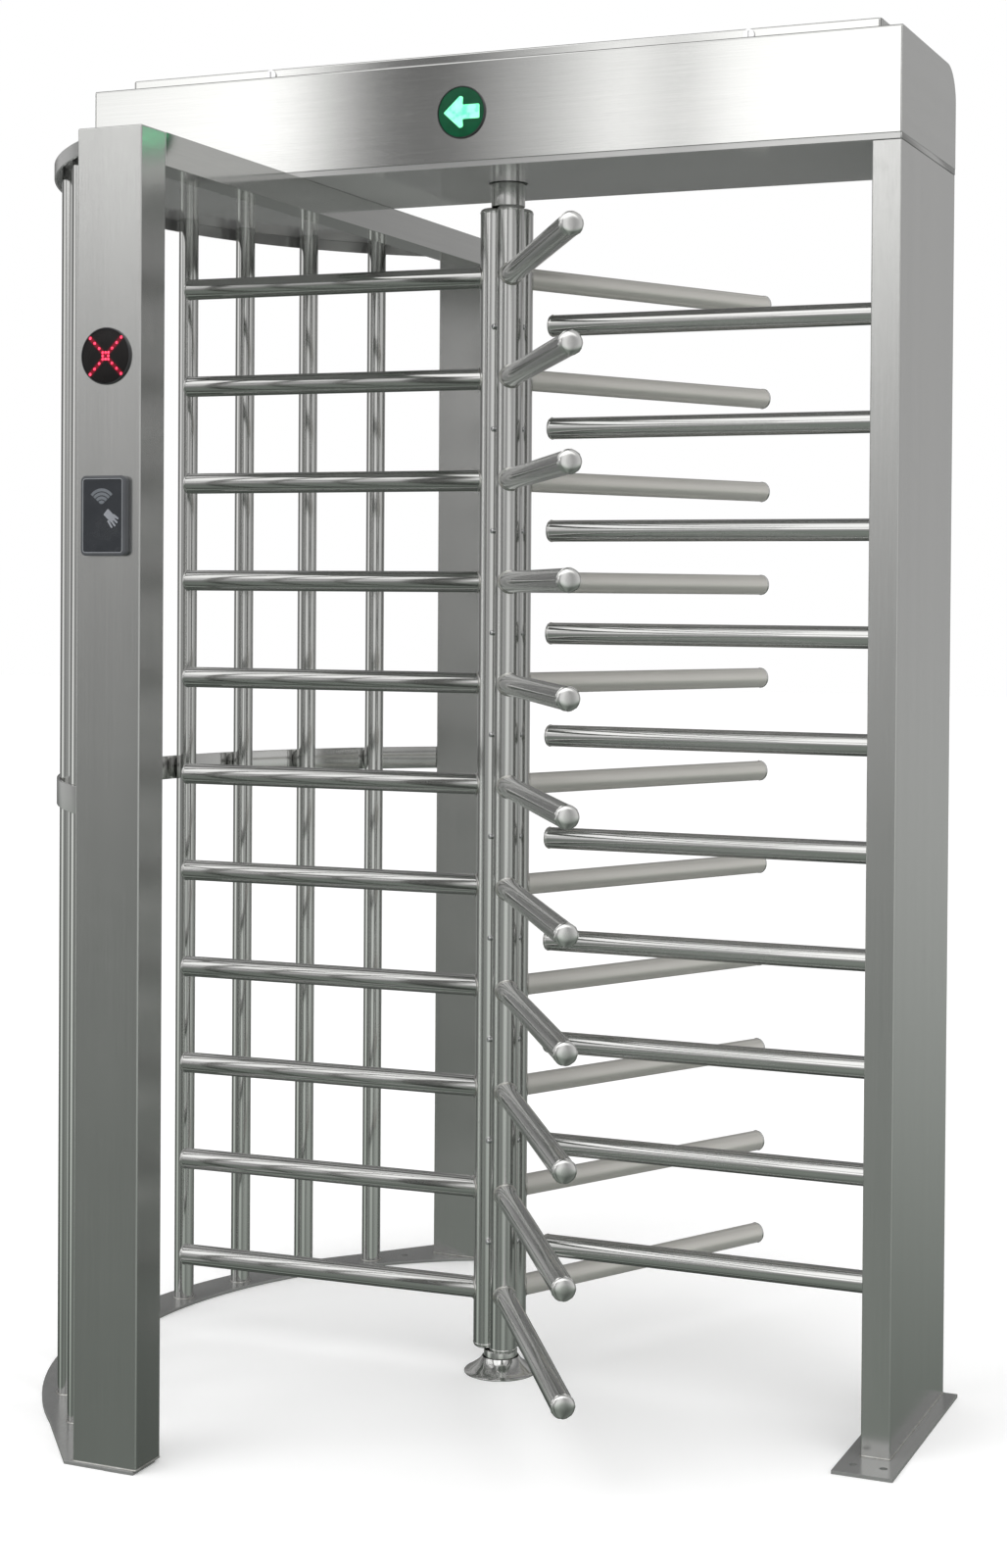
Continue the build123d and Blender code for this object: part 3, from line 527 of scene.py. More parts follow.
def outline(bm, points, thickness, place):
    """A flat outline in XY raised along Z, then placed."""
    verts = [bm.verts.new((x, y, 0.0)) for x, y in points]
    face = bm.faces.new(verts)
    raised = bmesh.ops.extrude_face_region(bm, geom=[face])["geom"]
    top = [g for g in raised if isinstance(g, bmesh.types.BMVert)]
    bmesh.ops.translate(bm, verts=top, vec=(0, 0, thickness))
    bmesh.ops.recalc_face_normals(bm, faces=list({f for v in verts + top for f in v.link_faces}))
    bmesh.ops.transform(bm, matrix=place, verts=verts + top)


def along_x(angle=0.0, z=0.0):
    """Places a shape made along Z so that it runs out from the axis at an angle and height."""
    outward = Matrix.Rotation(math.radians(90), 4, "Y")
    return Matrix.Translation((0, 0, z)) @ Matrix.Rotation(angle, 4, "Z") @ outward


def facing_front(x, z, y):
    """Places a shape made along Z so that it faces the front, at a point of a wall."""
    return Matrix.Translation((x, y, z)) @ Matrix.Rotation(math.radians(90), 4, "X")


def tube_mesh(radius, start, end, steps=36):
    return turned([(0, start), (radius, start), (radius, end), (0, end)], steps)


def cap_mesh(radius, start, end, rounding):
    """A tube's welded end: a rough bright seam and a flat dome with a round shoulder."""
    seam = [(radius - 0.0012, start - 0.0008), (radius + 0.0003, start - 0.0004),
            (radius + 0.00075, start + 0.0006), (radius + 0.0006, start + 0.0016),
            (radius - 0.0002, start + 0.0022)]
    steps = 10
    dome = []
    for k in range(steps):
        a = math.radians(90 * k / steps)
        dome.append(((radius - 0.0002) * math.cos(a) ** 0.72, end - rounding * (1 - math.sin(a) ** 0.85)))
    dome.append((0, end))

    def ragged(v, angle):
        if v.co.z < start + 0.0019 and v.co.xy.length > 0.5 * radius:
            swell = 0.00022 * math.sin(9 * angle) + 0.00016 * math.sin(17 * angle + 1.3)
            v.co.xy *= 1 + swell / radius
            v.co.z += 0.00025 * math.sin(5 * angle + 0.7)

    return turned([(0, start - 0.0008)] + seam + dome, 40, shape=ragged)


def bead_mesh(radius, size, surface=None):
    """A ring of weld round a tube; surface gives the joint's place along the tube for a sideways place."""
    ring = arc(radius + 0.1 * size, 0.0, size, 0, 315, 7)

    def laid(v, angle):
        v.co.xy *= 1 + 0.12 * size / radius * math.sin(38 * angle)
        v.co.z += 0.1 * size * math.sin(31 * angle + 1.0)
        if surface:
            v.co.z += surface(max(-radius, min(radius, v.co.y)))

    return turned(ring, 56, closed=True, shape=laid)


def wire_frame(name, loops, radius, look, body):
    """Round wires or welds along closed loops of points."""
    line = bpy.data.curves.new(name, "CURVE")
    line.dimensions = "3D"
    line.bevel_depth = radius
    line.bevel_resolution = 2
    for points in loops:
        spline = line.splines.new("POLY")
        spline.points.add(len(points) - 1)
        spline.use_cyclic_u = True
        for point, place in zip(spline.points, points):
            point.co = (*place, 1.0)
    holder = bpy.data.objects.new(name + "_line", line)
    bpy.context.scene.collection.objects.link(holder)
    mesh = bpy.data.meshes.new_from_object(holder)
    bpy.data.objects.remove(holder)
    bm = bmesh.new()
    bm.from_mesh(mesh)
    bpy.data.meshes.remove(mesh)
    return piece(name, bm, look, body)


def rounded_loop(x0, x1, y0, y1, z, radius, steps=4):
    """Points round a rectangle with rounded corners."""
    points = []
    for cx, cy, start in ((x1 - radius, y1 - radius, 0), (x0 + radius, y1 - radius, 90),
                          (x0 + radius, y0 + radius, 180), (x1 - radius, y0 + radius, 270)):
        points += [(x, y, z) for x, y in arc(cx, cy, radius, start, start + 90, steps)]
    return points


def foot_welds(name, nodes):
    """The weld lines round the feet of columns."""
    loops = []
    for node in nodes:
        a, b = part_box(node)
        loops.append(rounded_loop(a.x, b.x, a.y, b.y, a.z + 0.0006, 0.003))
    wire_frame(name, loops, 0.0014, "weld_bead", "frame")


# ---- settings ----
class TurnstileSizes(bpy.types.PropertyGroup):
    """Small made details that the frame leaves plain."""
    cap_rounding: bpy.props.FloatProperty(
        name="Cap rounding", description="Height of an arm end's dome",
        default=0.0057, unit="LENGTH")
    arm_bead: bpy.props.FloatProperty(
        name="Arm weld", description="Radius of the weld where an arm meets its post",
        default=0.0021, unit="LENGTH")
    bar_bead: bpy.props.FloatProperty(
        name="Bar weld", description="Radius of the weld where a bar meets a plate",
        default=0.0016, unit="LENGTH")
    column_fold: bpy.props.FloatProperty(
        name="Column fold", description="Outside radius of a folded column edge",
        default=0.0024, unit="LENGTH")
    sheet_edge: bpy.props.FloatProperty(
        name="Sheet edge", description="How far a cut sheet edge is broken",
        default=0.0007, unit="LENGTH")
    diode_radius: bpy.props.FloatProperty(
        name="Diode radius", description="Radius of one red lamp diode",
        default=0.0027, unit="LENGTH")


class TurnstileFinish(bpy.types.PropertyGroup):
    """Colours and polish."""
    steel_light: bpy.props.FloatVectorProperty(
        name="Steel, light", description="Lightest tone of the steel",
        subtype="COLOR", size=3, min=0, max=1, default=(0.70, 0.70, 0.69))
    steel_dark: bpy.props.FloatVectorProperty(
        name="Steel, dark", description="Darkest tone of the steel",
        subtype="COLOR", size=3, min=0, max=1, default=(0.56, 0.565, 0.555))
    # painted light: the paler, warmer tone painted on the wing at the back
    pale_lit_steel: bpy.props.FloatVectorProperty(
        name="Steel, warm", description="Light tone of the back tubes",
        subtype="COLOR", size=3, min=0, max=1, default=(0.80, 0.785, 0.74))
    brush_roughness: bpy.props.FloatProperty(
        name="Brushed roughness", description="Roughness under the brushed grain",
        default=0.2, min=0, max=1, subtype="FACTOR")
    tube_roughness: bpy.props.FloatProperty(
        name="Tube roughness", description="Roughness of the polished tubes",
        default=0.11, min=0, max=1, subtype="FACTOR")
    red_core: bpy.props.FloatVectorProperty(
        name="Red diode", description="Middle of a lit red diode",
        subtype="COLOR", size=3, min=0, max=1, default=(1.0, 0.06, 0.13))
    red_edge: bpy.props.FloatVectorProperty(
        name="Red diode edge", description="Edge of a lit red diode",
        subtype="COLOR", size=3, min=0, max=1, default=(0.75, 0.0, 0.03))
    green_core: bpy.props.FloatVectorProperty(
        name="Green arrow", description="Brightest part of the arrow",
        subtype="COLOR", size=3, min=0, max=1, default=(0.24, 0.90, 0.46))
    green_edge: bpy.props.FloatVectorProperty(
        name="Green arrow edge", description="Edge of the lit arrow",
        subtype="COLOR", size=3, min=0, max=1, default=(0.03, 0.70, 0.26))


class TurnstileStage(bpy.types.PropertyGroup):
    """Camera, floor and light."""
    lens: bpy.props.FloatProperty(
        name="Lens", description="Focal length",
        default=56.15, unit="CAMERA")
    floor_glow: bpy.props.FloatProperty(
        name="Floor glow", description="Light that the floor sheet gives off itself",
        default=0.14, min=0, max=1)
    floor_size: bpy.props.FloatProperty(
        name="Floor", description="Side of the floor",
        default=60.0, unit="LENGTH")


# ---- rotor ----
PALE_LIT_WING = 3                           # painted light: this wing's arms get a paler, warmer, duller copy of the tube steel, for the washed-out light on the wing at the back
POST_CAP_ROUNDING = 0.0076
SCREW_REACH = 0.034                     # from the rotor's axis to a button screw's top
SCREW_R = 0.0045


class MakeArms(bpy.types.Operator):
    """Thirty-three tube arms with rounded ends, welded to their posts"""
    bl_idname = "turnstile.arms"
    bl_label = "Arms"

    def execute(self, context):
        sizes = context.scene.turnstile_sizes
        tip = ARM_END + CAP_LENGTH
        tube = tube_mesh(BAR_R, POST_OFFSET + 0.55 * POST_R, ARM_END)
        cap = cap_mesh(BAR_R, ARM_END, tip, sizes.cap_rounding)
        bead = bead_mesh(BAR_R, sizes.arm_bead, lambda y: POST_OFFSET + math.sqrt(POST_R ** 2 - y * y))
        caps = empty_mesh()
        beads = empty_mesh()
        for n, angle in zip(WINGS, WING_ANGLES):
            places = [along_x(angle, z) for z in ARM_Z]
            # painted light: the wing at the back gets the paler, duller copy of the tube steel
            look = "back_tube" if n == PALE_LIT_WING else "tube_steel"
            piece(f"wing_{n}_arm_tubes", stamp(empty_mesh(), tube, places), look, "rotor",
                  [f"wing_{n}_arms"])
            stamp(caps, cap, places)
            stamp(beads, bead, places)
        piece("arm_end_caps", caps, "bright_cap", "rotor", ["arm_end_plugs"])
        piece("arm_weld_beads", beads, "weld_bead", "rotor")
        return {"FINISHED"}


class MakePosts(bpy.types.Operator):
    """The three posts, their rounded ends, the collars and the button screws between them"""
    bl_idname = "turnstile.posts"
    bl_label = "Posts and collars"

    def execute(self, context):
        z0, z1 = low("wing_post_1").z, high("wing_post_1").z
        top, foot = high("post_end_plugs").z, low("post_end_plugs").z
        tube = tube_mesh(POST_R, z0, z1, 48)
        cap = cap_mesh(POST_R, z1, top, POST_CAP_ROUNDING)
        caps = empty_mesh()
        for n, axis in zip(WINGS, POST_AXES):
            place = Matrix.Translation((axis.x, axis.y, 0))
            piece(f"post_{n}", stamp(empty_mesh(), tube, [place]), "post_steel", "rotor",
                  [f"wing_post_{n}"])
            upside_down = Matrix.Translation((axis.x, axis.y, z0 + z1)) @ Matrix.Rotation(math.pi, 4, "X")
            stamp(caps, cap, [place, upside_down @ Matrix.Translation((0, 0, top - z1 - (z0 - foot)))])
        piece("post_end_caps", caps, "bright_cap", "rotor", ["post_end_plugs"])

        for node in ("top_hub", "bottom_hub"):
            r = extent(node).x / 2
            a, b = low(node).z, high(node).z
            collar = turned([(0, a)] + arc(r - 0.0015, a + 0.0015, 0.0015, -90, 0, 4)
                            + arc(r - 0.0015, b - 0.0015, 0.0015, 0, 90, 4) + [(0, b)], 56)
            ring = stamp(empty_mesh(), collar, [WHOLE])
            piece(f"{node}_collar", ring, "post_steel", "rotor", [node])

        reach, rim = SCREW_REACH, SCREW_R

        def hexagon(v, angle):
            if v.co.xy.length < 0.56 * rim:
                v.co.xy *= math.cos(math.radians(30)) / math.cos(angle % (math.pi / 3) - math.pi / 6)

        button = turned([(0, reach - 0.008), (rim, reach - 0.008), (rim, reach - 0.0024)]
                        + arc(rim - 0.0016, reach - 0.0018, 0.0016, 8, 84, 4)
                        + [(0.55 * rim, reach), (0.5 * rim, reach - 0.0018), (0, reach - 0.0020)],
                        24, shape=hexagon)
        grooves = [angle + math.radians(60) for angle in WING_ANGLES]
        heads = stamp(empty_mesh(), button, [along_x(a, z) for z in COMB_Z for a in grooves])
        piece("post_screw_heads", heads, "chrome", "rotor", ["post_screws"])
        return {"FINISHED"}


# ---- comb side ----
class MakeComb(bpy.types.Operator):
    """Ten comb bars, their column and its base plate"""
    bl_idname = "turnstile.comb"
    bl_label = "Comb side"

    def execute(self, context):
        sizes = context.scene.turnstile_sizes
        x0, x1 = low("comb_bars").x, high("comb_bars").x
        heights = [along_x(0, z) for z in COMB_Z]
        bars = stamp(empty_mesh(), tube_mesh(BAR_R, x0, x1 + 0.0005), heights)
        piece("comb_bar_tubes", bars, "tube_steel", "frame", ["comb_bars"])
        cap = cap_mesh(BAR_R, -x0, -low("comb_end_plugs").x, sizes.cap_rounding)
        caps = stamp(empty_mesh(), cap, [along_x(math.pi, z) for z in COMB_Z])
        piece("comb_bar_caps", caps, "bright_cap", "frame", ["comb_end_plugs"])
        bead = bead_mesh(BAR_R, sizes.bar_bead, lambda y: x1 - 0.0004)
        piece("comb_weld_beads", stamp(empty_mesh(), bead, heights), "weld_bead", "frame")
        column("comb_column", "comb_shell", sizes.column_fold)
        refined("comb_base_plate", "floor_plate", 0.0008, 2, "comb_foot_plate")
        foot_welds("comb_foot_weld", ("comb_column",))
        return {"FINISHED"}


def column(node, name, fold):
    """A folded box column with soft edges in place of a CAD one."""
    a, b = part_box(node)
    bm = empty_mesh()
    block(bm, a, b, fold, 4)
    made = piece(name, bm, "brushed_upright", body_of(node), [node])
    keep_flat(made)


# ---- cage side ----
def tie_band():
    """The flat band that ties the tubes, bent round them."""
    a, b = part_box("cage_band")
    outer = -a.x
    inner = CAGE_R + BAR_R
    end = math.acos(-b.x / inner)
    edge = 0.001
    corners = (arc(outer - edge, b.z - edge, edge, 0, 90, 3)
               + arc(inner + edge, b.z - edge, edge, 90, 180, 3)
               + arc(inner + edge, a.z + edge, edge, 180, 270, 3)
               + arc(outer - edge, a.z + edge, edge, 270, 360, 3))
    bm = empty_mesh()
    start = Matrix.Rotation(math.pi - end, 4, "Z")
    verts = [bm.verts.new(start @ Vector((r, 0, h))) for r, h in corners]
    edges = [bm.edges.new(pair) for pair in zip(verts, verts[1:] + verts[:1])]
    bmesh.ops.spin(bm, geom=verts + edges, axis=(0, 0, 1), cent=(0, 0, 0), angle=2 * end, steps=72)
    bmesh.ops.holes_fill(bm, edges=[e for e in bm.edges if e.is_boundary])
    bmesh.ops.recalc_face_normals(bm, faces=bm.faces)
    grain = bm.verts.layers.float_vector["grain"]
    for v in bm.verts:
        v[grain] = (v.co.xy.length, v.co.z, math.atan2(v.co.y, -v.co.x) * outer)
    piece("cage_tie_band", bm, "tube_steel", "frame", ["cage_band"])


class MakeCage(bpy.types.Operator):
    """The barrier cage: upright tubes, band, roof, floor plate and beam"""
    bl_idname = "turnstile.cage"
    bl_label = "Cage"

    def execute(self, context):
        sizes = context.scene.turnstile_sizes
        z0, z1 = low("cage_tubes").z, high("cage_tubes").z
        half = (CAGE_TUBES - 1) / 2
        places = []
        for k in range(CAGE_TUBES):
            angle = math.pi + CAGE_STEP * (k - half)
            places.append(Matrix.Translation((CAGE_R * math.cos(angle), CAGE_R * math.sin(angle), 0)))
        tubes = stamp(empty_mesh(), tube_mesh(BAR_R, z0, z1), places)
        piece("cage_upright_tubes", tubes, "tube_steel", "frame", ["cage_tubes"])
        bead = bead_mesh(BAR_R, sizes.bar_bead)
        rings = [Matrix.Translation((0, 0, z0 + 0.0003)) @ p for p in places]
        piece("cage_weld_beads", stamp(empty_mesh(), bead, rings), "weld_bead", "frame")
        tie_band()
        # painted shade: the roof sheet gets the darker, shaded copy of the steel
        refined("cage_roof", "underside", sizes.sheet_edge, 2, "cage_roof_sheet")
        refined("cage_floor_plate", "floor_plate", 0.0008, 2, "cage_foot_plate")
        refined("side_beam", "beam_steel", sizes.sheet_edge, 3, "cage_side_beam")
        return {"FINISHED"}


class MakeColumns(bpy.types.Operator):
    """The two folded columns of the cage side and their foot welds"""
    bl_idname = "turnstile.columns"
    bl_label = "Cage columns"

    def execute(self, context):
        sizes = context.scene.turnstile_sizes
        column("front_column", "front_column_shell", sizes.column_fold)
        column("back_column", "back_column_shell", sizes.column_fold)
        foot_welds("column_foot_welds", ("front_column", "back_column"))
        return {"FINISHED"}


# ---- header ----
class MakeHeader(bpy.types.Operator):
    """The header's folded cover, end plates and pan"""
    bl_idname = "turnstile.header"
    bl_label = "Header"

    def execute(self, context):
        sizes = context.scene.turnstile_sizes
        refined("header_cover", "brushed_along", sizes.sheet_edge, 3, "header_cover_sheet")
        refined("header_end_plates", "brushed_across", 0.0005, 2, "header_end_sheets")
        skirts = empty_mesh()
        ends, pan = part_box("header_end_plates"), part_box("header_pan")
        gap = 0.0003
        for end in (0, 1):
            x0, x1 = sorted((ends[end].x, pan[end].x))
            block(skirts, (x0, pan[0].y, pan[0].z), (x1, pan[1].y, ends[0].z - gap), 0.0003, 2)
        piece("header_end_skirts", skirts, "brushed_across", "frame")
        # painted shade: the pan gets the darker, shaded copy of the steel
        refined("header_pan", "underside", sizes.sheet_edge, 3, "header_pan_sheet")
        return {"FINISHED"}


class MakeLid(bpy.types.Operator):
    """The service lid, its hinges and its two cam locks"""
    bl_idname = "turnstile.lid"
    bl_label = "Service lid"

    def execute(self, context):
        refined("service_lid", "brushed_along", 0.0004, 2, "service_lid_sheet")
        for node in ("hinge_leaves", "lid_hinge_knuckles", "hinge_pins"):
            refined(node, "chrome", 0.0003, 2)
        for side in ("left", "right"):
            refined(f"{side}_lid_lock", "chrome", 0.0004, 2)
        return {"FINISHED"}


# ---- inside the header ----
MECHANISM_LOOKS = {
    "machined_steel": ("drive_shaft", "drive_gear", "sensor_disc", "damper_pinion", "pawl_pins",
                       "shaft_bearing", "entry_plunger", "exit_plunger"),
    "hard_steel": ("ratchet_wheel", "entry_pawl", "exit_pawl", "bearing_bolts"),
}


class MakeMechanism(bpy.types.Operator):
    """The locking and damping mechanism on the rotor's shaft"""
    bl_idname = "turnstile.mechanism"
    bl_label = "Mechanism"

    def execute(self, context):
        for name, nodes in MECHANISM_LOOKS.items():
            for node in nodes:
                refined(node, name, 0.0003, 1)
        refined("bearing_plate", "zinc", 0.0006)
        refined("bearing_housing", "cast_grey", 0.001, 3)
        refined("damper_body", "cast_grey", 0.0006, 2)
        refined("solenoids", "coil_black", 0.0006, 2)
        refined("position_sensors", "sensor_black", 0.0005, 2)


# What stands on the control board, measured from its left, near corner.
        return {"FINISHED"}


BOARD_FACE = 0.0096                     # the board's upper face, above its feet
BOARD_HOLE = 0.01                       # from the board's edges to its corner screws
RELAYS = 3
RELAY_PLACE = (0.015, 0.13)
RELAY_STEP = 0.045
RELAY_SIZE = (0.03, 0.018)              # side and height
SKIN = 0.0004                           # how far a case stands outside the plain block that it covers
POLES = 17
POLE_STEP = 0.01
POLE_WIDTH = 0.0092
STRIP_START = 0.0154
STRIP_Y = (0.0036, 0.0184)
STRIP_HEIGHT = 0.0146
CAN_PLACE = (0.042, 0.082)


class MakeElectronics(bpy.types.Operator):
    """The control board with its parts, and the power supply"""
    bl_idname = "turnstile.electronics"
    bl_label = "Electronics"

    def execute(self, context):
        refined("control_board", "board_green", 0.0002, 1)
        refined("power_supply", "alloy", 0.0005, 2)
        base = low("control_board").z + BOARD_FACE
        left, near = low("control_board").xy
        right, far = high("control_board").xy
        relays = bmesh.new()
        side, height = RELAY_SIZE
        for k in range(RELAYS):
            x, y = left + RELAY_PLACE[0] + RELAY_STEP * k, near + RELAY_PLACE[1]
            x1, y1 = x + side + SKIN, y + side + SKIN
            block(relays, (x - SKIN, y - SKIN, base), (x1, y1, base + height + SKIN), 0.001)
        piece("relay_cases", relays, "relay_blue", "frame")
        strip = bmesh.new()
        poles = [left + STRIP_START + POLE_STEP * k for k in range(POLES)]
        y0, y1 = near + STRIP_Y[0], near + STRIP_Y[1]
        for x in poles:
            block(strip, (x, y0, base), (x + POLE_WIDTH, y1, base + STRIP_HEIGHT), 0.0007, 2)
        piece("terminal_strip", strip, "terminal_green", "frame")
        screws = empty_mesh()
        head = turned([(0, 0.0), (0.0024, 0.0), (0.0024, 0.0006)] + arc(0.0016, 0.0006, 0.0008, 0, 80, 3)
                      + [(0, 0.0015)], 14)
        spots = [(x + POLE_WIDTH / 2, (y0 + y1) / 2, base + STRIP_HEIGHT - 0.0002) for x in poles]
        spots += [(x, y, base - 0.0001) for x in (left + BOARD_HOLE, right - BOARD_HOLE)
                  for y in (near + BOARD_HOLE, far - BOARD_HOLE)]
        stamp(screws, head, [Matrix.Translation(s) for s in spots])
        piece("board_screws", screws, "chrome", "frame")
        cans = empty_mesh()
        r = 0.0115
        can = turned([(0, 0), (r, 0), (r, 0.001), (0.0108, 0.002), (r, 0.003), (r, 0.0215)]
                     + arc(0.0103, 0.0215, 0.0012, 0, 90, 3) + [(0, 0.0225)], 28)
        stamp(cans, can, [Matrix.Translation((left + CAN_PLACE[0], near + CAN_PLACE[1], base))])
        piece("smoothing_capacitor", cans, "coil_black", "frame")
        grille = bmesh.new()
        a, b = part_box("power_supply")
        margin, step, width = 0.012, 0.0125, 0.006
        for k in range(11):
            x = a.x + margin + step * k
            block(grille, (x, a.y + margin, b.z - 0.0004), (x + width, b.y - margin, b.z + 0.0006), 0.0004, 2)
        piece("supply_vents", grille, "hard_steel", "frame")
        return {"FINISHED"}


# ---- floor pivot ----
class MakeFloorPivot(bpy.types.Operator):
    """The floor pivot, its bush and the polished bell over it"""
    bl_idname = "turnstile.pivot"
    bl_label = "Floor pivot"

    def execute(self, context):
        refined("floor_pivot", "machined_steel", 0.0004)
        refined("floor_bush", "bronze", 0.0003)
        a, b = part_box("floor_cover")
        foot = b.x
        throat = 0.0322
        skin = 0.0014
        outer = [(foot, 0.0), (foot, 0.0016), (foot - 0.0012, 0.0030), (0.0585, 0.0056), (0.0520, 0.0100),
                 (0.0455, 0.0145), (0.0400, 0.0185), (0.0362, 0.0228), (throat + skin, b.z - 0.001)]
        lip = [(throat + 0.6 * skin, b.z), (throat, b.z - 0.0006)]
        inner = [(max(r - skin, throat), max(z - skin, 0.0)) for r, z in reversed(outer[2:-1])]
        bell = turned(outer + lip + inner + [(foot - skin, 0.0)], 72, closed=True)
        piece("floor_bell", stamp(empty_mesh(), bell, [WHOLE]), "mirror_steel", "frame",
              ["floor_cover"])
        return {"FINISHED"}


# ---- lamps and reader ----
DIODE_STEP = 0.0052                     # between the diodes round the middle of the cross
CROSS_STEPS = (0.0118, 0.0202, 0.0284)  # sideways and upward places of the diodes on its arms


def lamp_ring(name, node, lens, window):
    """A lamp's housing and its dark window; gives the window's centre and front."""
    a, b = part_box(node)
    x, z = (a.x + b.x) / 2, (a.z + b.z) / 2
    r = (b.x - a.x) / 2
    proud = 0.004                       # how far the lamp stands out from its wall
    wall = a.y + proud
    deep = b.y - wall
    back = r - 0.0052                   # radius of the cup behind the wall
    rim = 0.0012
    cup = turned([(0, -deep), (back, -deep), (back, 0), (r, 0), (r, proud - rim)]
                 + arc(r - rim, proud - rim, rim, 0, 90, 4)
                 + [(r - 0.0020, proud), (r - 2 * rim, proud - rim), (r - 2 * rim, rim), (0, rim)], 64)
    place = facing_front(x, z, wall)
    piece(f"{name}_lamp_body", stamp(empty_mesh(), cup, [place]), "lamp_black", "frame", [node])
    disc = r - 0.0026
    glass = turned([(0, 0.0010), (disc, 0.0010), (disc, proud - 0.0014)]
                   + arc(disc - 0.0006, proud - 0.0014, 0.0006, 0, 90, 3)
                   + [(0.5 * disc, proud - 0.0006), (0, proud - 0.0005)], 64)
    piece(f"{name}_lamp_window", stamp(empty_mesh(), glass, [place]), window, "frame", [lens])
    return x, z, wall - proud + 0.0006


class MakeLamps(bpy.types.Operator):
    """The red cross lamp on the front column and the green arrow lamp on the header"""
    bl_idname = "turnstile.lamps"
    bl_label = "Signal lamps"

    def execute(self, context):
        sizes = context.scene.turnstile_sizes
        x, z, front = lamp_ring("red", "red_lamp_housing", "red_lamp_lens", "red_window")
        r = sizes.diode_radius
        diode = turned([(0, -0.001), (r, -0.001)] + arc(0, 0, r, 0, 84, 4) + [(0, r)], 14)
        row = (-DIODE_STEP, 0, DIODE_STEP)
        spots = [(u, v) for u in row for v in row if u or v]
        for step in CROSS_STEPS:
            spots += [(u, v) for u in (-step, step) for v in (-step, step)]
        dots = stamp(empty_mesh(), diode, [facing_front(x + u, z + v, front + 0.0014) for u, v in spots])
        piece("red_cross_diodes", dots, "red_diode", "frame")

        x, z, front = lamp_ring("green", "green_lamp_housing", "green_lamp_lens", "green_window")
        tip, barb, neck, tail = -0.0325, 0.0275, 0.0122, 0.0345
        upper = [(tail, neck), (0.003, neck), (0.004, barb - 0.002), (-0.002, barb)]
        arrow = [(tip, 0)] + [(u, -v) for u, v in reversed(upper)] + upper
        bm = empty_mesh()
        outline(bm, arrow, 0.0012, facing_front(x, z, front + 0.0004))
        upright = [e for e in bm.edges if abs((e.verts[0].co - e.verts[1].co).y) > 0.0005]
        bmesh.ops.bevel(bm, geom=upright, offset=0.0022, offset_type="OFFSET", affect="EDGES", segments=4,
                        profile=0.5, material=-1)
        piece("green_arrow_plate", bm, "green_arrow", "frame", bevel=(0.0003, 2))


# Marks on the reader, from the middle of its glass.
        return {"FINISHED"}


WAVE_CENTRE = (-0.0015, 0.0165)
WAVES = ((0.002, 0.0075), (0.0090, 0.0138), (0.0153, 0.0200), (0.0215, 0.0262))     # inner and outer radius
HAND_PLACE = (0.0135, -0.0005, 0)
HAND_TURN = math.radians(-42)
FINGERS = ((0.014, -0.0085), (0.015, -0.0045), (0.014, -0.0005), (0.012, 0.0035))   # length and place


class MakeReader(bpy.types.Operator):
    """The card reader: moulded case, glass front, light line and marks"""
    bl_idname = "turnstile.reader"
    bl_label = "Card reader"

    def execute(self, context):
        refined("reader_case", "reader_grey", 0.0005, 2)
        refined("reader_glass", "reader_black", 0.0004, 2)
        a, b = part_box("reader_glass")
        cx, cz = (a.x + b.x) / 2, (a.z + b.z) / 2
        face = a.y
        loop = rounded_loop(a.x - 0.0004, b.x + 0.0004, a.z - 0.0004, b.z + 0.0004, 0, 0.0042, 5)
        wire_frame("reader_light_line", [[(x, face + 0.0001, z) for x, z, _ in loop]], 0.0007, "reader_line",
                   "frame")
        flat = facing_front(cx, cz, face)
        waves = bmesh.new()
        for inner, outer in WAVES:
            ring = arc(*WAVE_CENTRE, outer, 40, 140, 10) + arc(*WAVE_CENTRE, inner, 140, 40, 10)
            outline(waves, ring, 0.0003, flat)
        piece("reader_wave_mark", waves, "reader_mark", "frame")
        hand = bmesh.new()
        turn = flat @ Matrix.Translation(HAND_PLACE) @ Matrix.Rotation(HAND_TURN, 4, "Z")
        card = [(x, y) for x, y, _ in rounded_loop(-0.010, 0.010, -0.0062, 0.0062, 0, 0.0016)]
        outline(hand, card, 0.00025, turn)
        for k, (length, y) in enumerate(FINGERS):
            finger = [(x, v) for x, v, _ in rounded_loop(0.004, 0.004 + length, y, y + 0.0033, 0, 0.0016)]
            spread = Matrix.Rotation(math.radians(-14 + 7 * k), 4, "Z")
            outline(hand, finger, 0.0004 + 0.00002 * k, turn @ spread)
        piece("reader_card_mark", hand, "reader_hand", "frame")
        return {"FINISHED"}


# ---- stage ----
# The room's light cards: brightness by direction, in degrees round the turnstile.
ROOM_AROUND = [(-180, 0.20), (-170, 0.30), (-160, 1.05), (-146, 1.1), (-138, 0.42), (-97, 0.42),
               (-86, 0.40), (-76, 0.85), (-58, 0.90), (-44, 0.40), (-20, 0.62), (6, 0.70), (30, 0.48),
               (56, 0.24), (68, 0.44), (80, 0.50), (94, 0.20), (132, 0.18), (141, 0.48), (152, 0.45),
               (162, 0.18), (180, 0.20)]
# Tall lights ahead of the header, between dark posts.
SLATS = [(-130, 0.7), (-123, 1.40), (-118.8, 1.75), (-117.5, 0.80), (-116.4, 0.22), (-114.9, 0.20),
         (-112.6, 0.78), (-110.9, 1.45), (-109.5, 0.98), (-108.3, 1.6), (-104.0, 1.85), (-100.5, 1.6),
         (-98, 0.5)]
# Brightness ahead of the header by height of the reflected ray.
RISE = [(-0.5, 0.22), (-0.3, 0.20), (-0.2, 0.215), (-0.1, 0.235), (0.0, 0.33), (0.06, 0.44),
        (0.14, 0.66), (0.17, 1.0), (0.27, 1.0), (0.34, 0.45), (0.5, 0.40)]


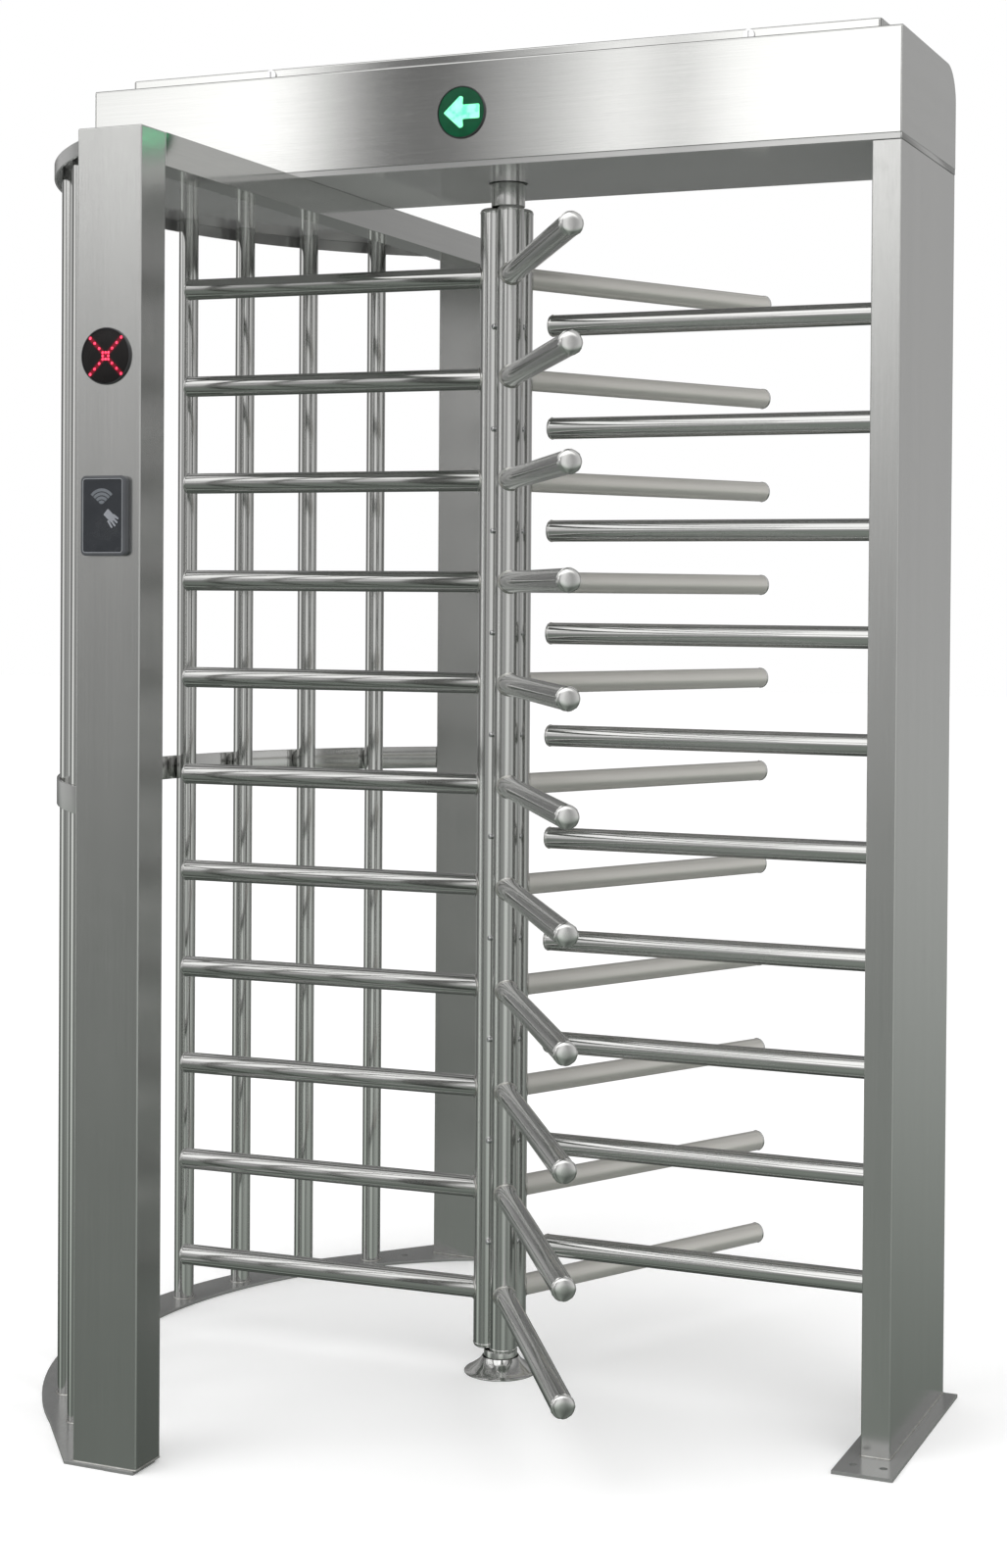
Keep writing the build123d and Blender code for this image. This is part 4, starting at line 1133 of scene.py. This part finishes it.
def surroundings():
    """A plain pale room whose reflections run from light above to dark at the floor."""
    world = bpy.data.worlds.new("studio")
    bpy.context.scene.world = world
    p = Paint(world)
    x, y, z = p.axes(p.add("ShaderNodeTexCoord", {}, {}, "Generated"))
    turn = y.bearing(x) * math.degrees(1.0)
    around = p.ramp(turn, -180, 180, ROOM_AROUND)
    slats = p.ramp(turn, -130, -98, SLATS)
    rise = p.ramp(z, -0.5, 0.5, RISE)
    raised = z.eased(0.11, 0.165) * z.eased(0.33, 0.28)
    ahead = rise * ((1.0 - raised) * turn.eased(-125, -103, 1.0, 1.4) + slats * raised)
    window = turn.eased(-131, -126) * turn.eased(-97, -101)
    fall = z.eased(-0.42, -0.05, 0.30, 1.0)
    over = z.eased(0.30, 0.52) * y.eased(-0.28, -0.52)
    shade = (around * fall * (1.0 - window) + ahead * window).most(0.08) + over * 0.95
    tint = p.blend(z.eased(-0.4, 0.05), (0.90, 1.0, 0.90), (1.0, 0.997, 0.99))
    seen = p.add("ShaderNodeBackground", {}, {"Color": tint, "Strength": shade})
    pale = p.add("ShaderNodeBackground", {}, {"Color": (1, 1, 1, 1), "Strength": 1.0})
    rays = p.add("ShaderNodeLightPath", {}, {}, "Is Glossy Ray")
    both = p.add("ShaderNodeMixShader", {}, {0: rays, 1: pale, 2: seen})
    p.add("ShaderNodeOutputWorld", {}, {"Surface": both})


def softbox(name, place, size, power):
    """A large soft lamp that lights the floor and the matt parts only."""
    aim = Vector((0, 0, 1.0))
    data = bpy.data.lights.new(name, "AREA")
    data.shape = "RECTANGLE"
    data.size = data.size_y = size
    data.energy = power
    obj = bpy.data.objects.new(name, data)
    obj.location = place
    obj.rotation_euler = (aim - Vector(place)).to_track_quat("-Z", "Y").to_euler()
    obj.visible_glossy = False
    bpy.context.scene.collection.objects.link(obj)


CAMERA_PLACE = (1.740, -4.000, 1.389)
CAMERA_TURN = (math.radians(22.54), -0.0152, 0.007)     # yaw, pitch and roll
LENS_SHIFT = (-0.0276, -0.0967)


def take_view(stage):
    """The camera, standing a little right of the turnstile's middle."""
    data = bpy.data.cameras.new("camera")
    data.lens = stage.lens
    data.sensor_width = 36.0
    data.shift_x, data.shift_y = LENS_SHIFT
    data.clip_end = 200.0
    yaw, pitch, roll = CAMERA_TURN
    ahead = Vector((-math.sin(yaw) * math.cos(pitch), math.cos(yaw) * math.cos(pitch), math.sin(pitch)))
    side = ahead.cross(Vector((0, 0, 1))).normalized()
    up = side.cross(ahead)
    tilted = side * math.cos(roll) + up * math.sin(roll)
    upright = up * math.cos(roll) - side * math.sin(roll)
    turn = Matrix((tilted, upright, -ahead)).transposed().to_4x4()
    camera = bpy.data.objects.new("camera", data)
    camera.matrix_world = Matrix.Translation(CAMERA_PLACE) @ turn
    bpy.context.scene.collection.objects.link(camera)
    bpy.context.scene.camera = camera
    bpy.context.scene.view_settings.view_transform = "Standard"


class MakeStage(bpy.types.Operator):
    """The pale floor, soft light and camera"""
    bl_idname = "turnstile.stage"
    bl_label = "Stage"

    def execute(self, context):
        stage = context.scene.turnstile_stage
        bm = bmesh.new()
        bmesh.ops.create_grid(bm, x_segments=4, y_segments=4, size=stage.floor_size / 2)
        mesh = bpy.data.meshes.new("floor")
        bm.to_mesh(mesh)
        bm.free()
        mesh.materials.append(finish("studio_floor"))
        floor = bpy.data.objects.new("floor", mesh)
        floor.visible_glossy = False
        bpy.context.scene.collection.objects.link(floor)
        surroundings()
        softbox("key_softbox", (-2.6, -4.2, 4.6), 3.5, 90)
        softbox("fill_softbox", (4.2, -3.0, 3.6), 3.0, 40)
        take_view(stage)
        return {"FINISHED"}


PIECES = (MakeArms, MakePosts, MakeComb, MakeCage, MakeColumns, MakeHeader, MakeLid, MakeMechanism,
          MakeElectronics, MakeFloorPivot, MakeLamps, MakeReader, MakeStage)
GROUPS = {"turnstile_sizes": TurnstileSizes, "turnstile_finish": TurnstileFinish,
          "turnstile_stage": TurnstileStage}


class TurnstilePanel(bpy.types.Panel):
    """Lists the turnstile's pieces and settings"""
    bl_idname = "VIEW3D_PT_turnstile"
    bl_label = "Turnstile"
    bl_space_type = "VIEW_3D"
    bl_region_type = "UI"
    bl_category = "Turnstile"

    def draw(self, context):
        for maker in PIECES:
            self.layout.operator(maker.bl_idname)
        for name, group in GROUPS.items():
            box = self.layout.box()
            for key in group.__annotations__:
                box.prop(getattr(context.scene, name), key)


def register():
    for group in GROUPS.values():
        bpy.utils.register_class(group)
    for name, group in GROUPS.items():
        setattr(bpy.types.Scene, name, bpy.props.PointerProperty(type=group))
    for cls in (*PIECES, TurnstilePanel):
        bpy.utils.register_class(cls)


def unregister():
    for cls in (TurnstilePanel, *reversed(PIECES)):
        bpy.utils.unregister_class(cls)
    for name, group in GROUPS.items():
        delattr(bpy.types.Scene, name)
        bpy.utils.unregister_class(group)


def main():
    register()
    for maker in PIECES:
        group, name = maker.bl_idname.split(".")
        getattr(getattr(bpy.ops, group), name)()


if __name__ == "__main__":
    main()
